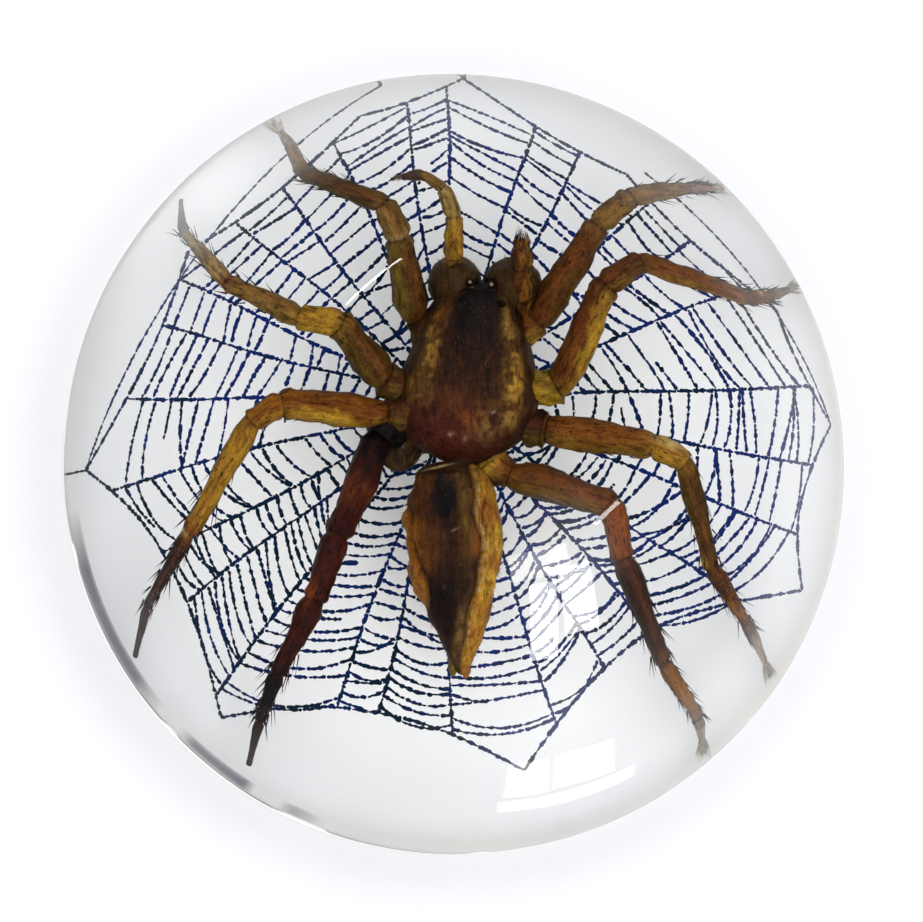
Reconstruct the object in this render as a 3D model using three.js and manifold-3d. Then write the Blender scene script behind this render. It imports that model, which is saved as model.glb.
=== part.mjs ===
// A dried spider cast in a clear resin dome on a printed white backing disc.
// Units are millimetres and +Z is up. The origin is the centre of the underside.
// The spider lies level in the resin, with its head towards +Y.

import * as THREE from 'three';
import { mergeVertices } from 'three/addons/utils/BufferGeometryUtils.js';
import Module from 'manifold-3d';

// Dome and backing
const DOME_RADIUS = 22.5;
const DOME_TOP = 16;
const WALL_TOP = 4;
const BACKING_THICKNESS = 1.2;
const DOME_SIDES = 60;
const CAP_STEPS = 9;

// Pocket round the spider, and the level at which the resin is parted
const POCKET_GAP = 0.3;
const PARTING_HEIGHT = 6;

// How finely the spider and its pocket are faceted
const SPIDER_FACETS = { limb: 7, body: 14, grow: 0 };
const POCKET_FACETS = { limb: 5, body: 8, grow: POCKET_GAP };

// Joints of each leg: hip, trochanter, knee, patella, tibia, metatarsus and the tip of the foot
const LEG_JOINTS = {
  leftFirst: [
    [-1.7, 5.8, 6], [-2.6, 6.7, 6.2], [-3.7, 11.1, 8.4], [-4.5, 13.1, 8.4],
    [-8.6, 15.1, 5.6], [-9.3, 17, 4], [-10, 18.3, 2.8],
  ],
  leftSecond: [
    [-3.1, 3.3, 6], [-4.2, 3.6, 6.2], [-6.8, 6.5, 8.4], [-8.9, 6.8, 8.2],
    [-12.4, 8.9, 5.4], [-15, 12.2, 3.4], [-15.2, 14.2, 2.6],
  ],
  leftThird: [
    [-2.7, 1.8, 6], [-4.1, 1.8, 6.2], [-9.8, 2.3, 8.2], [-11.3, 1.4, 8],
    [-14.3, -4.2, 5.2], [-16.7, -8.1, 3.4], [-17.6, -10.9, 2.6],
  ],
  leftFourth: [
    [-3.2, 1.4, 5.8], [-4.4, 0.6, 6], [-6.7, -4.5, 7.8], [-7.9, -7.8, 7.3],
    [-9.7, -11.5, 5.2], [-10.6, -14, 3.6], [-11.3, -16.6, 2.6],
  ],
  rightFirst: [
    [2.7, 5.9, 6], [3.5, 6.6, 6.2], [7, 12.2, 8.2], [9, 14.1, 7.9],
    [12.6, 15.1, 5.2], [14, 15.3, 3.9], [14.6, 15.3, 3.1],
  ],
  rightSecond: [
    [3.2, 3.1, 6], [4.6, 3.2, 6.2], [7.2, 8.8, 8.4], [9.2, 10.2, 8.2],
    [15.3, 8.6, 4.8], [17, 9, 3.6], [18.7, 9.8, 2.7],
  ],
  rightThird: [
    [2.9, 1.3, 6], [4, 1.1, 6.2], [9.6, 0.3, 8], [11.3, -0.5, 7.8],
    [12.8, -5.7, 5.2], [15.5, -9.1, 3.6], [17, -11.4, 2.6],
  ],
  rightFourth: [
    [1.3, -0.5, 5.8], [2.2, -1.1, 6], [7.3, -2.7, 7.4], [8, -5.5, 7.4],
    [10.4, -10.7, 5], [12.9, -13.9, 3.4], [13.4, -15.6, 2.6],
  ],
};

// Radii of each leg segment, from the coxa out, at its start, its thickest stretch and its end
const LEG_SEGMENTS = [
  { start: 0.8, middle: 1.05, end: 0.9 },
  { start: 0.85, middle: 0.95, end: 0.75 },
  { start: 0.7, middle: 0.92, end: 0.7 },
  { start: 0.62, middle: 0.78, end: 0.62 },
  { start: 0.56, middle: 0.68, end: 0.5 },
  { start: 0.42, middle: 0.48, end: 0.36 },
  { start: 0.3, middle: 0.34, end: 0.2 },
];

// The coxae run from the hips in under the body, towards the middle of the breast plate
const BREAST_CENTRE = new THREE.Vector3(0, 3, 5.6);
const COXA_LENGTH = 2;

// Where along a limb segment its rings stand, how far a joint is drawn in, and the round of its ends
const START_RING = 0.16;
const MIDDLE_RING = 0.5;
const JOINT_WAIST = 0.9;
const LIMB_END_CAP = 0.25;

// The two feelers beside the jaws: the left one reaches forward and curls, the right one is drawn in
const PALP_JOINTS = {
  left: [
    [-0.9, 8.1, 6.5], [-0.8, 9.9, 7.2], [-0.7, 12.3, 8], [-1.3, 14, 8], [-2.3, 14.8, 7.2], [-3.3, 14.6, 6.6],
  ],
  right: [[2.9, 6.7, 6.5], [2.8, 7.7, 7.4], [2.7, 9.3, 8.4], [2.8, 11, 8.1]],
};
const PALP_SEGMENTS = {
  left: [
    { start: 0.5, middle: 0.52, end: 0.45 },
    { start: 0.42, middle: 0.52, end: 0.42 },
    { start: 0.42, middle: 0.48, end: 0.4 },
    { start: 0.38, middle: 0.42, end: 0.34 },
    { start: 0.34, middle: 0.4, end: 0.24 },
  ],
  right: [
    { start: 0.5, middle: 0.55, end: 0.5 },
    { start: 0.45, middle: 0.6, end: 0.5 },
    { start: 0.5, middle: 0.8, end: 0.5 },
  ],
};

// Cross-sections of the trunk along Y: centre in X and Z, half width, height above and depth below
const CARAPACE = [
  { y: 9.2, x: 0.4, z: 6.6, half: 1.7, above: 1.7, below: 0.9 },
  { y: 8.2, x: 0.35, z: 6.6, half: 2.1, above: 2.1, below: 1.1 },
  { y: 6.6, x: 0.3, z: 6.6, half: 2.45, above: 2.1, below: 1.2 },
  { y: 5, x: 0.2, z: 6.6, half: 2.95, above: 2.05, below: 1.3 },
  { y: 3.4, x: 0.05, z: 6.6, half: 3.35, above: 2, below: 1.3 },
  { y: 1.8, x: 0, z: 6.6, half: 3.3, above: 1.8, below: 1.2 },
  { y: 0.4, x: -0.15, z: 6.6, half: 2.6, above: 1.3, below: 0.9 },
  { y: -0.5, x: -0.2, z: 6.6, half: 1.5, above: 0.7, below: 0.5 },
];
const ABDOMEN = [
  { y: -0.9, x: -0.75, z: 6.4, half: 1.8, above: 1.3, below: 1.3 },
  { y: -2.1, x: -0.6, z: 6.4, half: 2.2, above: 1.8, below: 1.8 },
  { y: -3.5, x: -0.65, z: 6.4, half: 2.65, above: 2, below: 2 },
  { y: -5.4, x: -0.5, z: 6.4, half: 2.5, above: 2, below: 2 },
  { y: -7, x: -0.55, z: 6.4, half: 2.2, above: 1.9, below: 1.8 },
  { y: -8.2, x: -0.3, z: 6.3, half: 1.7, above: 1.7, below: 1.5 },
  { y: -9.6, x: -0.2, z: 6.2, half: 1.1, above: 1.25, below: 1 },
  { y: -11, x: -0.2, z: 6.1, half: 0.45, above: 0.6, below: 0.5 },
];
const TRUNK_END_CAP = 0.35;

// Rounded lumps: the two jaws, the breast plate, the waist and the spinnerets
const LUMPS = [
  { name: 'left jaw', centre: [-0.6, 9, 6.4], radii: [1.2, 1.45, 1.8] },
  { name: 'right jaw', centre: [2.1, 9, 6.4], radii: [1.2, 1.45, 1.8] },
  { name: 'breast plate', centre: [0, 3.2, 5.7], radii: [2.2, 3.6, 1] },
  { name: 'waist', centre: [-0.4, -0.5, 6.3], radii: [0.8, 1.2, 0.8] },
  { name: 'left spinneret', centre: [-0.45, -11.2, 5.9], radii: [0.28, 0.75, 0.28] },
  { name: 'right spinneret', centre: [0.05, -11.2, 5.9], radii: [0.28, 0.75, 0.28] },
];

const COLOURS = {
  backing: 0xe6e9ee,
  resin: 0xf4f7fa,
  spider: 0x5f4016,
};

const wasm = await Module();
wasm.setup();

// Shared vertices and no collapsed triangles, as a solid needs
function solidOf(geometry) {
  geometry.deleteAttribute('normal');
  geometry.deleteAttribute('uv');
  const welded = mergeVertices(geometry, 1e-5);
  const index = welded.index.array;
  const triangles = [];
  for (let i = 0; i < index.length; i += 3) {
    const [a, b, c] = index.slice(i, i + 3);
    if (a !== b && b !== c && c !== a) {
      triangles.push(a, b, c);
    }
  }
  return new wasm.Manifold(new wasm.Mesh({
    numProp: 3,
    vertProperties: new Float32Array(welded.attributes.position.array),
    triVerts: new Uint32Array(triangles),
  }));
}

function geometryOf(solid) {
  const mesh = solid.getMesh();
  const geometry = new THREE.BufferGeometry();
  geometry.setAttribute('position', new THREE.BufferAttribute(mesh.vertProperties, 3));
  geometry.setIndex(new THREE.BufferAttribute(mesh.triVerts, 1));
  geometry.computeVertexNormals();
  return geometry;
}

// The whole resin dome: a short straight wall under a spherical cap
function domeSolid() {
  const rise = DOME_TOP - WALL_TOP;
  const capRadius = (DOME_RADIUS ** 2 + rise ** 2) / (2 * rise);
  const capAngle = Math.asin(DOME_RADIUS / capRadius);
  const profile = [
    new THREE.Vector2(0, BACKING_THICKNESS),
    new THREE.Vector2(DOME_RADIUS, BACKING_THICKNESS),
    new THREE.Vector2(DOME_RADIUS, WALL_TOP),
  ];
  for (let step = 1; step < CAP_STEPS; step++) {
    const angle = capAngle * (1 - step / CAP_STEPS);
    const drop = capRadius * (1 - Math.cos(angle));
    profile.push(new THREE.Vector2(capRadius * Math.sin(angle), DOME_TOP - drop));
  }
  profile.push(new THREE.Vector2(0, DOME_TOP));
  const dome = new THREE.LatheGeometry(profile, DOME_SIDES);
  dome.rotateX(Math.PI / 2);
  return solidOf(dome);
}

// A block that holds everything above the parting level
function aboveParting() {
  const side = 3 * DOME_RADIUS;
  const block = new THREE.BoxGeometry(side, side, DOME_TOP);
  block.translate(0, 0, PARTING_HEIGHT + DOME_TOP / 2);
  return solidOf(block);
}

// Where a limb's skin gets a ring of points: one near the start of each segment, one at its
// thickest stretch and one at the joint, which is drawn in. A pocket has one wide ring a joint.
function limbStations(joints, segments, facets) {
  const points = joints.map((joint) => new THREE.Vector3(...joint));
  const directions = segments.map((_, i) => points[i + 1].clone().sub(points[i]).normalize());
  const widen = (radius) => (radius + facets.grow) / Math.cos(Math.PI / facets.limb);
  const stations = [];
  segments.forEach((segment, i) => {
    const along = (part) => points[i].clone().lerp(points[i + 1], part);
    const following = segments[i + 1] ?? segment;
    const bend = directions[i].clone().add(directions[i + 1] ?? directions[i]).normalize();
    if (facets.grow) {
      const widest = Math.max(segment.middle, following.middle);
      stations.push({ point: along(START_RING), direction: directions[i], radius: widen(segment.middle) });
      stations.push({ point: along(1), direction: bend, radius: widen(widest) });
    } else {
      const waist = JOINT_WAIST * Math.min(segment.end, following.start);
      stations.push({ point: along(START_RING), direction: directions[i], radius: segment.start });
      stations.push({ point: along(MIDDLE_RING), direction: directions[i], radius: segment.middle });
      stations.push({ point: along(1), direction: bend, radius: waist });
    }
  });
  return stations;
}

// A closed skin over a limb's rings, carried from one to the next without twisting
function limbSolid(joints, segments, facets) {
  const stations = limbStations(joints, segments, facets);
  const positions = [];
  const spoke = new THREE.Vector3(0, 0, 1).cross(stations[0].direction).normalize();
  let previous = stations[0].direction;
  for (const { point, direction, radius } of stations) {
    spoke.applyQuaternion(new THREE.Quaternion().setFromUnitVectors(previous, direction));
    previous = direction;
    for (let side = 0; side < facets.limb; side++) {
      const turned = spoke.clone().applyAxisAngle(direction, (2 * Math.PI * side) / facets.limb);
      positions.push(...point.clone().addScaledVector(turned, radius).toArray());
    }
  }
  const first = stations[0];
  const last = stations[stations.length - 1];
  const start = first.point.clone().addScaledVector(first.direction, -LIMB_END_CAP - facets.grow);
  const end = last.point.clone().addScaledVector(last.direction, LIMB_END_CAP + facets.grow);
  return skinSolid(start, positions, end, facets.limb);
}

// The coxa is added to a leg's joints: it runs from the hip in under the body
function legSolid(joints, facets) {
  const hip = new THREE.Vector3(...joints[0]);
  const root = hip.clone().lerp(BREAST_CENTRE, COXA_LENGTH / hip.distanceTo(BREAST_CENTRE));
  return limbSolid([root.toArray(), ...joints], LEG_SEGMENTS, facets);
}

// Rings of points joined by a skin that closes on a start point and an end point
function skinSolid(start, rings, end, sides) {
  const positions = [...start.toArray(), ...rings, ...end.toArray()];
  const ringCount = rings.length / 3 / sides;
  const endIndex = positions.length / 3 - 1;
  const indices = [];
  for (let side = 0; side < sides; side++) {
    const next = (side + 1) % sides;
    indices.push(0, 1 + next, 1 + side);
    for (let ring = 0; ring < ringCount - 1; ring++) {
      const low = 1 + ring * sides;
      const high = low + sides;
      indices.push(low + side, low + next, high + next);
      indices.push(low + side, high + next, high + side);
    }
    const rim = endIndex - sides;
    indices.push(rim + side, rim + next, endIndex);
  }
  const skin = new THREE.BufferGeometry();
  skin.setAttribute('position', new THREE.Float32BufferAttribute(positions, 3));
  skin.setIndex(indices);
  return solidOf(skin);
}

// A closed skin over oval cross-sections that stand across the Y axis, from the front to the back
function trunkSolid(sections, facets) {
  const swell = facets.grow ? 1 / Math.cos(Math.PI / facets.body) : 1;
  const positions = [];
  for (const section of sections) {
    for (let side = 0; side < facets.body; side++) {
      const angle = (2 * Math.PI * side) / facets.body;
      const upright = Math.sin(angle) > 0 ? section.above : section.below;
      positions.push(
        section.x + (section.half + facets.grow) * swell * Math.cos(angle),
        section.y,
        section.z + (upright + facets.grow) * swell * Math.sin(angle),
      );
    }
  }
  const reach = TRUNK_END_CAP + facets.grow;
  const front = sections[0];
  const back = sections[sections.length - 1];
  const start = new THREE.Vector3(front.x, front.y + reach, front.z);
  const end = new THREE.Vector3(back.x, back.y - reach, back.z);
  return skinSolid(start, positions, end, facets.body);
}

function lumpSolid(lump, facets) {
  const ball = new THREE.SphereGeometry(1, facets.body, Math.round(facets.body / 2));
  const radii = lump.radii.map((radius) => radius + facets.grow);
  ball.scale(...radii);
  ball.translate(...lump.centre);
  return solidOf(ball);
}

// The whole spider, or with a gap in its facets the pocket that it lies in
function spiderSolid(facets) {
  const solids = [trunkSolid(CARAPACE, facets), trunkSolid(ABDOMEN, facets)];
  for (const lump of LUMPS) {
    solids.push(lumpSolid(lump, facets));
  }
  for (const joints of Object.values(LEG_JOINTS)) {
    solids.push(legSolid(joints, facets));
  }
  for (const side of ['left', 'right']) {
    solids.push(limbSolid(PALP_JOINTS[side], PALP_SEGMENTS[side], facets));
  }
  return solids.reduce((whole, solid) => whole.add(solid));
}

function backingGeometry() {
  const disc = new THREE.CylinderGeometry(DOME_RADIUS, DOME_RADIUS, BACKING_THICKNESS, DOME_SIDES);
  disc.rotateX(Math.PI / 2);
  disc.translate(0, 0, BACKING_THICKNESS / 2);
  return disc;
}

function named(name, geometry, material) {
  const mesh = new THREE.Mesh(geometry, material);
  mesh.name = name;
  return mesh;
}

function resinMaterial() {
  return new THREE.MeshStandardMaterial({
    color: COLOURS.resin, roughness: 0.04, metalness: 0, transparent: true, opacity: 0.3,
  });
}

const backingMaterial = new THREE.MeshStandardMaterial({ color: COLOURS.backing, roughness: 0.5, metalness: 0 });
const spiderMaterial = new THREE.MeshStandardMaterial({ color: COLOURS.spider, roughness: 0.45, metalness: 0 });

const resin = domeSolid().subtract(spiderSolid(POCKET_FACETS));
const upper = aboveParting();

const group = new THREE.Group();
group.add(
  named('backing_disc', backingGeometry(), backingMaterial),
  named('resin_lower', geometryOf(resin.subtract(upper)), resinMaterial()),
  named('resin_upper', geometryOf(resin.intersect(upper)), resinMaterial()),
  named('spider', geometryOf(spiderSolid(SPIDER_FACETS)), spiderMaterial),
);

export default group;
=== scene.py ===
"""A dried spider cast in a clear resin dome on a printed backing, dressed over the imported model.

Sizes in the classes are millimetres, as in the part's own source. Meshes are written in metres.
"""
import logging
import math
from dataclasses import dataclass, field
from enum import Enum
from typing import Any, Sequence

import bpy
import numpy as np
from mathutils import Matrix, Vector, noise
from mathutils.geometry import delaunay_2d_cdt


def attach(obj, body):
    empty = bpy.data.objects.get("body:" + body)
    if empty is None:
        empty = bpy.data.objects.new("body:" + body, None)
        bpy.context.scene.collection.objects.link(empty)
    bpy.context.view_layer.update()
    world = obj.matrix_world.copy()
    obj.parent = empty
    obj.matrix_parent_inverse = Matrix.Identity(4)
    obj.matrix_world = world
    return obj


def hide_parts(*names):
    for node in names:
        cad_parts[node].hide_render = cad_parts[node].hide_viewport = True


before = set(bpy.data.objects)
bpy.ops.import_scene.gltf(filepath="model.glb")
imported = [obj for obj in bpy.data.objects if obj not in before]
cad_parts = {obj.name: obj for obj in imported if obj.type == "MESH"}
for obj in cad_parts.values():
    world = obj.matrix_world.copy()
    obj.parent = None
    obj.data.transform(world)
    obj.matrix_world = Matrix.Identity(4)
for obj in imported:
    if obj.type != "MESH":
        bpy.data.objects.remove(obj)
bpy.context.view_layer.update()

LOG = logging.getLogger("specimen_dome")
MM = 0.001
ROOT = "root"
SKIN_LAYERS = ("pigment", "lie", "dotted")
HOST_LAYERS = ("flow", "down", "setae", "brush", "hair_size")

Point = tuple[float, float, float]
Colour = tuple[float, float, float, float]
Array = np.ndarray
Faces = list[tuple[int, ...]]
Thread = tuple[Array, float]
Spine = tuple[Array, Array, float]
Socket = bpy.types.NodeSocket
Material = bpy.types.Material
Mesh = bpy.types.Mesh
Piece = bpy.types.Object


def srgb(red: int, green: int, blue: int) -> Colour:
    """Turns a colour as seen on a screen, from 0 to 255, into the linear one that a shader takes."""
    linear = [((c / 255 + 0.055) / 1.055) ** 2.4 if c > 10 else c / 255 / 12.92 for c in (red, green, blue)]
    return (linear[0], linear[1], linear[2], 1.0)


def clamped(value: Any) -> Any:
    """The value kept between 0 and 1."""
    return np.clip(value, 0, 1)


def hump(value: Array, centre: float, width: float) -> Array:
    """A bell of height 1 round a centre."""
    return np.exp(-(((value - centre) / width) ** 2))


def unit(vectors: Array) -> Array:
    """Vectors scaled to length 1."""
    return vectors / np.linalg.norm(vectors, axis=-1, keepdims=True)


def directions(heading: Array) -> tuple[Array, Array, Array]:
    """The directions along a heading, level across it and up from it.

    Args:
        heading: One direction or one a row, of any length.

    Returns:
        The three directions, of length 1.
    """
    along = unit(heading)
    across = unit(np.cross(along, (0, 0, 1.0)))
    return along, across, np.cross(across, along)


def full_turn(sides: int) -> Array:
    """Angles evenly round a circle."""
    return np.linspace(0, 2 * math.pi, sides, endpoint=False)


def turn_from(bearing: Any, angles: Array) -> Array:
    """How far angles are from a bearing, the short way round."""
    return np.angle(np.exp(1j * (angles - bearing)))


class Graph:
    """A node tree under construction, for a material, for the world or for geometry."""

    def __init__(self, tree: bpy.types.NodeTree) -> None:
        """Takes the tree that the nodes are added to."""
        self.tree = tree

    def node(self, kind: str, settings: dict[str, Any] | None = None,
             inputs: dict[str | int, Any] | None = None) -> bpy.types.Node:
        """Adds one node, sets it up and then fills its sockets.

        Args:
            kind: The node's type name.
            settings: Properties of the node.
            inputs: Values, sockets or Signals by the input's name or place.

        Returns:
            The new node.
        """
        made = self.tree.nodes.new(kind)
        for name, value in (settings or {}).items():
            setattr(made, name, value)
        for name, value in (inputs or {}).items():
            socket = made.inputs[name]
            if isinstance(value, Signal):
                value = value.socket
            if isinstance(value, Socket):
                self.tree.links.new(value, socket)
            else:
                socket.default_value = value
        return made

    def read(self, output: str | int, kind: str, settings: dict[str, Any] | None = None,
             inputs: dict[str | int, Any] | None = None) -> "Signal":
        """Adds one node as above and reads the output of that name or place."""
        return Signal(self, self.node(kind, settings, inputs).outputs[output])

    def vector(self, operation: str, inputs: dict[str | int, Any], output: str = "Vector") -> "Signal":
        """Adds a Vector Math node and reads one of its outputs."""
        return self.read(output, "ShaderNodeVectorMath", {"operation": operation}, inputs)


@dataclass(frozen=True)
class Signal:
    """A value that flows through a node tree, with Python's operators as Math nodes."""

    graph: Graph
    socket: Socket

    def maths(self, operation: str, other: Any, clamp: bool = False) -> "Signal":
        """Adds a Math node on this value and another, clamped to 0 to 1 where asked."""
        settings = {"operation": operation, "use_clamp": clamp}
        return self.graph.read(0, "ShaderNodeMath", settings, {0: self, 1: other})

    def __add__(self, other: Any) -> "Signal":
        """Sum."""
        return self.maths("ADD", other)

    __radd__ = __add__

    def __sub__(self, other: Any) -> "Signal":
        """Difference."""
        return self.maths("SUBTRACT", other)

    def __rsub__(self, other: float) -> "Signal":
        """Difference from a plain number."""
        return self.graph.read(0, "ShaderNodeMath", {"operation": "SUBTRACT"}, {0: other, 1: self})

    def __mul__(self, other: Any) -> "Signal":
        """Product."""
        return self.maths("MULTIPLY", other)

    __rmul__ = __mul__

    def __truediv__(self, other: Any) -> "Signal":
        """Quotient."""
        return self.maths("DIVIDE", other)

    def __pow__(self, other: Any) -> "Signal":
        """Power."""
        return self.maths("POWER", other)

    def clamped(self) -> "Signal":
        """The value kept between 0 and 1."""
        return self.maths("ADD", 0.0, clamp=True)

    def above(self, level: float, slope: float) -> "Signal":
        """How far the value is over a level, from 0 to 1."""
        return ((self - level) * slope).clamped()

    def below(self, level: float, slope: float) -> "Signal":
        """How far the value is under a level, from 0 to 1."""
        return ((level - self) * slope).clamped()


class Paint(Graph):
    """A material's node tree, with the few helpers that the finishes share."""

    def __init__(self, name: str) -> None:
        """Makes a new material of that name with an empty tree.

        Args:
            name: The material's name.
        """
        self.material = bpy.data.materials.new(name)
        self.material.use_nodes = True
        super().__init__(self.material.node_tree)
        self.tree.nodes.clear()

    def attribute(self, name: str, output: str = "Fac") -> Signal:
        """Reads one of the piece's own attributes."""
        return self.read(output, "ShaderNodeAttribute", {"attribute_name": name})

    def place(self) -> Signal:
        """The point in object coordinates, in metres."""
        return self.read("Object", "ShaderNodeTexCoord")

    def pattern(self, kind: str, output: str, place: Signal, stretch: Point, **sockets: float) -> Signal:
        """Reads a texture node at a place that is stretched along each axis."""
        turned = self.read(0, "ShaderNodeMapping", None, {"Vector": place, "Scale": stretch})
        return self.read(output, kind, None, {"Vector": turned, **sockets})

    def grain(self, scale: float, detail: float, place: Signal | None = None,
              stretch: Point = (1, 1, 1)) -> Signal:
        """Noise from 0 to 1, read in object coordinates if no other place is given."""
        return self.pattern("ShaderNodeTexNoise", "Fac", place or self.place(), stretch,
                            Scale=scale, Detail=detail)

    def dots(self, place: Signal, size: float, stretch: Point) -> Signal:
        """Scattered dots, 1 inside and 0 outside; the size is a share of their distance."""
        return self.pattern("ShaderNodeTexVoronoi", "Distance", place, stretch, Scale=1.0).below(size, 12.0)

    def mixed(self, share: Any, first: Any, second: Any, blend: str = "MIX") -> Signal:
        """Mixes two colours; the share says how much of the second one shows."""
        settings = {"data_type": "RGBA", "blend_type": blend}
        return self.read(2, "ShaderNodeMix", settings, {0: share, 6: first, 7: second})

    def bump(self, height: Signal, strength: float, distance: float) -> Signal:
        """Turns a height into a normal; the distance is in millimetres."""
        inputs = {"Height": height, "Strength": strength, "Distance": distance * MM}
        return self.read("Normal", "ShaderNodeBump", None, inputs)

    def finished(self, volume: Signal | None = None, **sockets: Any) -> Material:
        """Adds the surface shader with its sockets filled, and returns the material.

        Args:
            volume: What fills the inside, if anything does.
            sockets: Values by the input's name, with _ for a space.

        Returns:
            The material.
        """
        inputs = {name.replace("_", " "): value for name, value in sockets.items()}
        ends = {"Surface": self.read("BSDF", "ShaderNodeBsdfPrincipled", None, inputs)}
        if volume:
            ends["Volume"] = volume
        self.node("ShaderNodeOutputMaterial", inputs=ends)
        return self.material


@dataclass(frozen=True)
class ResinFinish:
    """Polished casting resin, clear with a trace of warm tint over a long path."""

    ior: float = 1.5
    tint: Colour = (1.0, 0.97, 0.86, 1.0)
    density: float = 14.0

    def material(self) -> Material:
        """Builds the resin's material.

        Returns:
            The material.
        """
        paint = Paint("clear_resin")
        inputs = {"Color": self.tint, "Density": self.density}
        depth = paint.read(0, "ShaderNodeVolumeAbsorption", None, inputs)
        return paint.finished(depth, Base_Color=(1, 1, 1, 1), Roughness=0.0, IOR=self.ior,
                              Transmission_Weight=1.0)


@dataclass(frozen=True)
class SandedEdgeFinish:
    """The casting's straight edge, which was sanded: greyish, uneven and pale where it is chipped."""

    ior: float = 1.5
    grey: Colour = srgb(84, 92, 110)
    olive: Colour = srgb(140, 140, 118)
    chip: Colour = (0.98, 0.98, 0.90, 1.0)

    def material(self) -> Material:
        """Builds the edge's material.

        Returns:
            The material.
        """
        paint = Paint("sanded_resin_edge")
        colour = paint.mixed(paint.grain(160, 2).above(0.45, 6.0), self.grey, self.olive)
        colour = paint.mixed(paint.attribute("chipped"), colour, self.chip)
        return paint.finished(Base_Color=colour, Roughness=0.3, IOR=self.ior, Transmission_Weight=1.0)


@dataclass(frozen=True)
class CardFinish:
    """The white backing card: cool and uneven, with painted light that makes it creamier and brighter near
    its edge, and a broken grey line of painted shadow.

    The painted shadow line runs just inside the edge, round the side that its side vector points at. Its
    reach is the cosine of the angle to which it runs.
    """

    white: Colour = (0.925, 0.94, 0.97, 1.0)
    shade: Colour = (0.90, 0.92, 0.965, 1.0)
    cream: Colour = (0.985, 0.98, 0.90, 1.0)
    cream_from: float = 20.6
    # the painted shadow line: its colour, its radius, its thinness, its side and its reach
    painted_shadow_line: Colour = srgb(122, 124, 136)
    shadow_radius: float = 20.52
    shadow_thinness: float = 6.4
    shadow_side: Point = (-0.777, -0.629, 0.0)
    shadow_reach: float = 0.85

    def material(self) -> Material:
        """Builds the card's material.

        Returns:
            The material.
        """
        paint = Paint("backing_card")
        cloud = paint.grain(140, 2)
        colour = paint.mixed(cloud, self.white, self.shade)
        away = paint.vector("LENGTH", {0: paint.place()}, "Value")
        reach = away * (1 / MM)
        # painted light: the card's outer rim is painted creamier and brighter
        painted_rim_light = ((reach - self.cream_from + cloud) * 0.8).clamped()
        colour = paint.mixed(painted_rim_light * 0.8, colour, self.cream)
        # painted shadow: a broken grey line just inside the card's edge, on one side only
        side = paint.vector("DOT_PRODUCT", {0: paint.place(), 1: self.shadow_side}, "Value")
        off = (reach - self.shadow_radius) * self.shadow_thinness
        faced = (side / away).above(self.shadow_reach, 14.0)
        line = (1.0 - off * off).clamped() * faced * paint.grain(210, 1).above(0.4, 9.0)
        colour = paint.mixed(line, colour, self.painted_shadow_line)
        tooth = paint.grain(9000, 2)
        return paint.finished(Base_Color=colour, Roughness=0.5 + 0.1 * tooth,
                              Normal=paint.bump(tooth, 0.05, 0.01), Specular_IOR_Level=0.2)


@dataclass(frozen=True)
class InkFinish:
    """The dark blue printing ink of the web, denser in some places than in others."""

    dense: Colour = srgb(4, 28, 50)
    thin: Colour = srgb(14, 38, 106)

    def material(self) -> Material:
        """Builds the ink's material.

        Returns:
            The material.
        """
        paint = Paint("web_ink")
        load = paint.grain(700, 4) + paint.grain(95, 1)
        colour = paint.mixed(load.above(0.9, 4.0), self.dense, self.thin)
        return paint.finished(Base_Color=colour, Roughness=0.45, Specular_IOR_Level=0.05)


class Pigment(Enum):
    """The colours of the dried spider's skin, and of the highlights painted on it."""

    COAL = (9, 4, 9)
    UMBER = (42, 22, 13)
    LOAM = (62, 43, 21)
    BARK = (84, 58, 22)
    CHESTNUT = (98, 56, 20)
    TAWNY = (118, 70, 22)
    DRAB = (134, 102, 50)
    AMBER = (148, 94, 27)
    HONEY = (170, 126, 40)
    GOLD = (192, 152, 44)
    OLIVE = (122, 102, 32)
    SAND = (158, 134, 82)
    RUST = (134, 68, 20)
    WINE = (64, 22, 15)
    ROSE = (146, 118, 106)
    SMOKE = (62, 54, 56)
    ASH = (172, 158, 148)
    CREAM = (224, 204, 146)

    def linear(self) -> Array:
        """The pigment as a linear colour."""
        return np.array(srgb(*self.value)[:3])


P = Pigment


class Coat:
    """The colour of a skin under construction: pigments are brushed on one after another."""

    def __init__(self, base: Array) -> None:
        """Starts from a base colour at every point."""
        self.colour = base.astype(float).copy()

    @classmethod
    def plain(cls, pigment: Pigment, shape: tuple[int, ...]) -> "Coat":
        """Starts from one pigment all over."""
        return cls(np.broadcast_to(pigment.linear(), (*shape, 3)))

    def brush(self, pigment: Pigment, *shares: Array | float) -> None:
        """Blends a pigment in by the product of the shares, kept from 0 to 1 at each point."""
        cover = clamped(math.prod(shares) * np.ones(self.colour.shape[:-1]))[..., None]
        self.colour = self.colour * (1 - cover) + pigment.linear() * cover


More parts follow.
